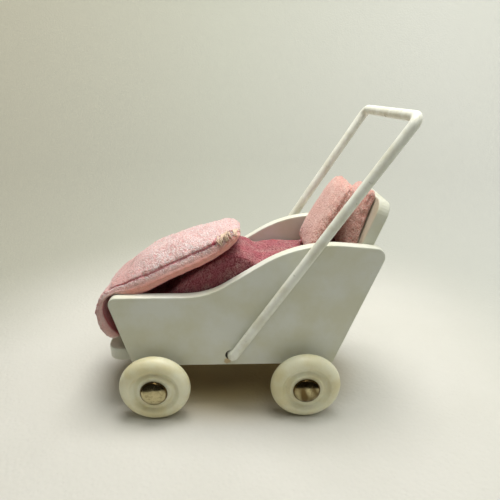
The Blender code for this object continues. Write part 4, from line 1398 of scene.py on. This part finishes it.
@dataclass
class Studio:
    """A pale paper sweep that rises all round, soft lamps above, and the camera.

    Two dark flags that the camera doesn't see stand in front, as an unlit room would: they
    darken the upper half of the chrome and the light that bounces to the near faces, but cast
    no shadow.
    """

    flat: float = 0.28
    bend: float = 0.62
    wall: float = 1.2
    flag_radius: float = 0.66
    card_radius: float = 0.19
    flag_top: float = 1.3
    flag_half_turn: float = 1.25
    camera_place: tuple[float, float, float] = (-0.004077, -0.372825, 0.27933)
    yaw: float = 0.0320982
    pitch: float = 0.3773421
    roll: float = -0.0035
    sensor: float = 36.0
    focal_share: float = 449.995 / 500
    paper: BackdropPaper = BackdropPaper("backdrop_paper")
    black: FlagCloth = FlagCloth("black_flag_cloth")

    def build(self) -> None:
        """Makes the sweep, the flags, the lamps, the world and the camera."""
        self.sweep()
        self.flag("flag_far", self.flag_radius, 0.10)
        self.flag("flag_near", self.card_radius, 0.001).visible_diffuse = False
        middle, corner = (0.0, 0.0, 0.08), (0.40, 0.9, 0.75)
        self.lamp("softbox_key", (0.035, 0.12, 1.0), middle, 0.46, 9.0, (1.0, 0.985, 0.95))
        self.lamp("softbox_fill", (0.28, -0.36, 1.1), middle, 0.8, 5.5, (0.97, 1.0, 0.95))
        self.lamp("softbox_backdrop", (0.45, 0.30, 1.25), corner, 0.4, 1.5, (1.0, 1.0, 0.97))
        self.world()
        self.camera()
        bpy.context.scene.view_settings.view_transform = "Standard"

    def sweep(self) -> None:
        """A round floor that bends up into a wall, its profile turned about Z."""
        turn = np.linspace(0, math.pi / 2, 24)[1:]
        flat = np.linspace(0.0, self.flat, 12)
        radius = np.r_[flat, self.flat + self.bend * np.sin(turn), self.flat + self.bend]
        height = np.r_[flat * 0, self.bend * (1 - np.cos(turn)), self.bend + self.wall]
        floor = mesh_of("paper_sweep", turned(np.stack([radius, height], axis=1), 96))
        close_up(floor)
        floor.data.flip_normals()
        floor.data.materials.append(self.paper.make())

    def flag(self, name: str, radius: float, foot: float) -> bpy.types.Object:
        """A part of an upright cylinder about Z in front of the pushchair.

        Args:
            name: the flag's name.
            radius: of the cylinder.
            foot: height of its lower edge.

        Returns:
            The flag.
        """
        turn = -math.pi / 2 + np.linspace(-self.flag_half_turn, self.flag_half_turn, 24)
        height = np.linspace(foot, self.flag_top, 6)[:, None]
        grid = np.broadcast_arrays(radius * np.cos(turn), radius * np.sin(turn), height)
        cloth = mesh_of(name, np.stack(grid, axis=-1), (False, False))
        cloth.data.materials.append(self.black.make())
        cloth.visible_camera = False
        cloth.visible_shadow = False
        return cloth

    def lamp(self, name: str, place: tuple[float, ...], aim: tuple[float, ...], size: float,
             power: float, tint: tuple[float, ...]) -> None:
        """A square softbox that looks from its place to its aim, hidden from the camera.

        Args:
            name: the lamp's name.
            place: where it stands.
            aim: the point that it looks at.
            size: of its side in metres.
            power: in watts.
            tint: linear colour of its light.
        """
        light = bpy.data.lights.new(name, "AREA")
        light.shape, light.size, light.energy, light.color = "SQUARE", size, power, tint
        lamp = bpy.data.objects.new(name, light)
        bpy.context.scene.collection.objects.link(lamp)
        lamp.location = place
        lamp.visible_camera = False
        lamp.rotation_euler = (Vector(aim) - Vector(place)).to_track_quat("-Z", "Y").to_euler()

    def world(self) -> None:
        """A dim even world."""
        world = bpy.data.worlds.new("studio")
        bpy.context.scene.world = world
        world.use_nodes = True
        inputs = world.node_tree.nodes["Background"].inputs
        inputs["Color"].default_value = linear("#E2E2DA")
        inputs["Strength"].default_value = 0.08

    def camera(self) -> None:
        """The camera at the photograph's angle: yaw, then pitch down, then roll."""
        lens = bpy.data.cameras.new("photo_view")
        lens.sensor_width = self.sensor
        lens.lens = self.focal_share * self.sensor
        lens.clip_start, lens.clip_end = 0.01, 20.0
        camera = bpy.data.objects.new("photo_view", lens)
        bpy.context.scene.collection.objects.link(camera)
        camera.matrix_world = (Matrix.Translation(self.camera_place)
                               @ Matrix.Rotation(-self.yaw, 4, "Z")
                               @ Matrix.Rotation(math.pi / 2 - self.pitch, 4, "X")
                               @ Matrix.Rotation(-self.roll, 4, "Z"))
        bpy.context.scene.camera = camera


def seat(above: float) -> np.ndarray:
    """Where the back board's inner face is at a height above the mattress behind."""
    height = FRONT_TOP + SEAT_LIFT + above
    return np.array([BACK_INNER + BACK_SLOPE * (height - UNDERSIDE), 0.0, height])


def main() -> None:
    """Builds the studio and every piece over the frame, in order."""
    logging.basicConfig(level=logging.INFO, format="%(name)s %(message)s")
    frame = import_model()
    Studio().build()
    Woodwork().build(frame["nodes"])
    Wheels().build()
    Handle().build()
    Mattress().build()
    lean = math.radians(20.1)
    clear = 0.0010 * np.array([-math.cos(lean), 0.0, math.sin(lean)])
    SewnPad("back_pad_terry", "back_pad", seat(0.0006) + clear, lean, height=0.0585,
            width=0.0636, top_width=0.0436, thickness=0.0172, seed=14, taper=0.20,
            flat_back=True).build()
    ahead = np.array([-0.0353, 0.0, 0.0])
    SewnPad("pillow_terry", "pillow", seat(0.0005) + ahead, math.radians(28.7), height=0.0700,
            width=0.0615, top_width=0.0585, thickness=0.0180, seed=24, corner=0.14).build()
    Quilt().build()


if __name__ == "__main__":
    main()
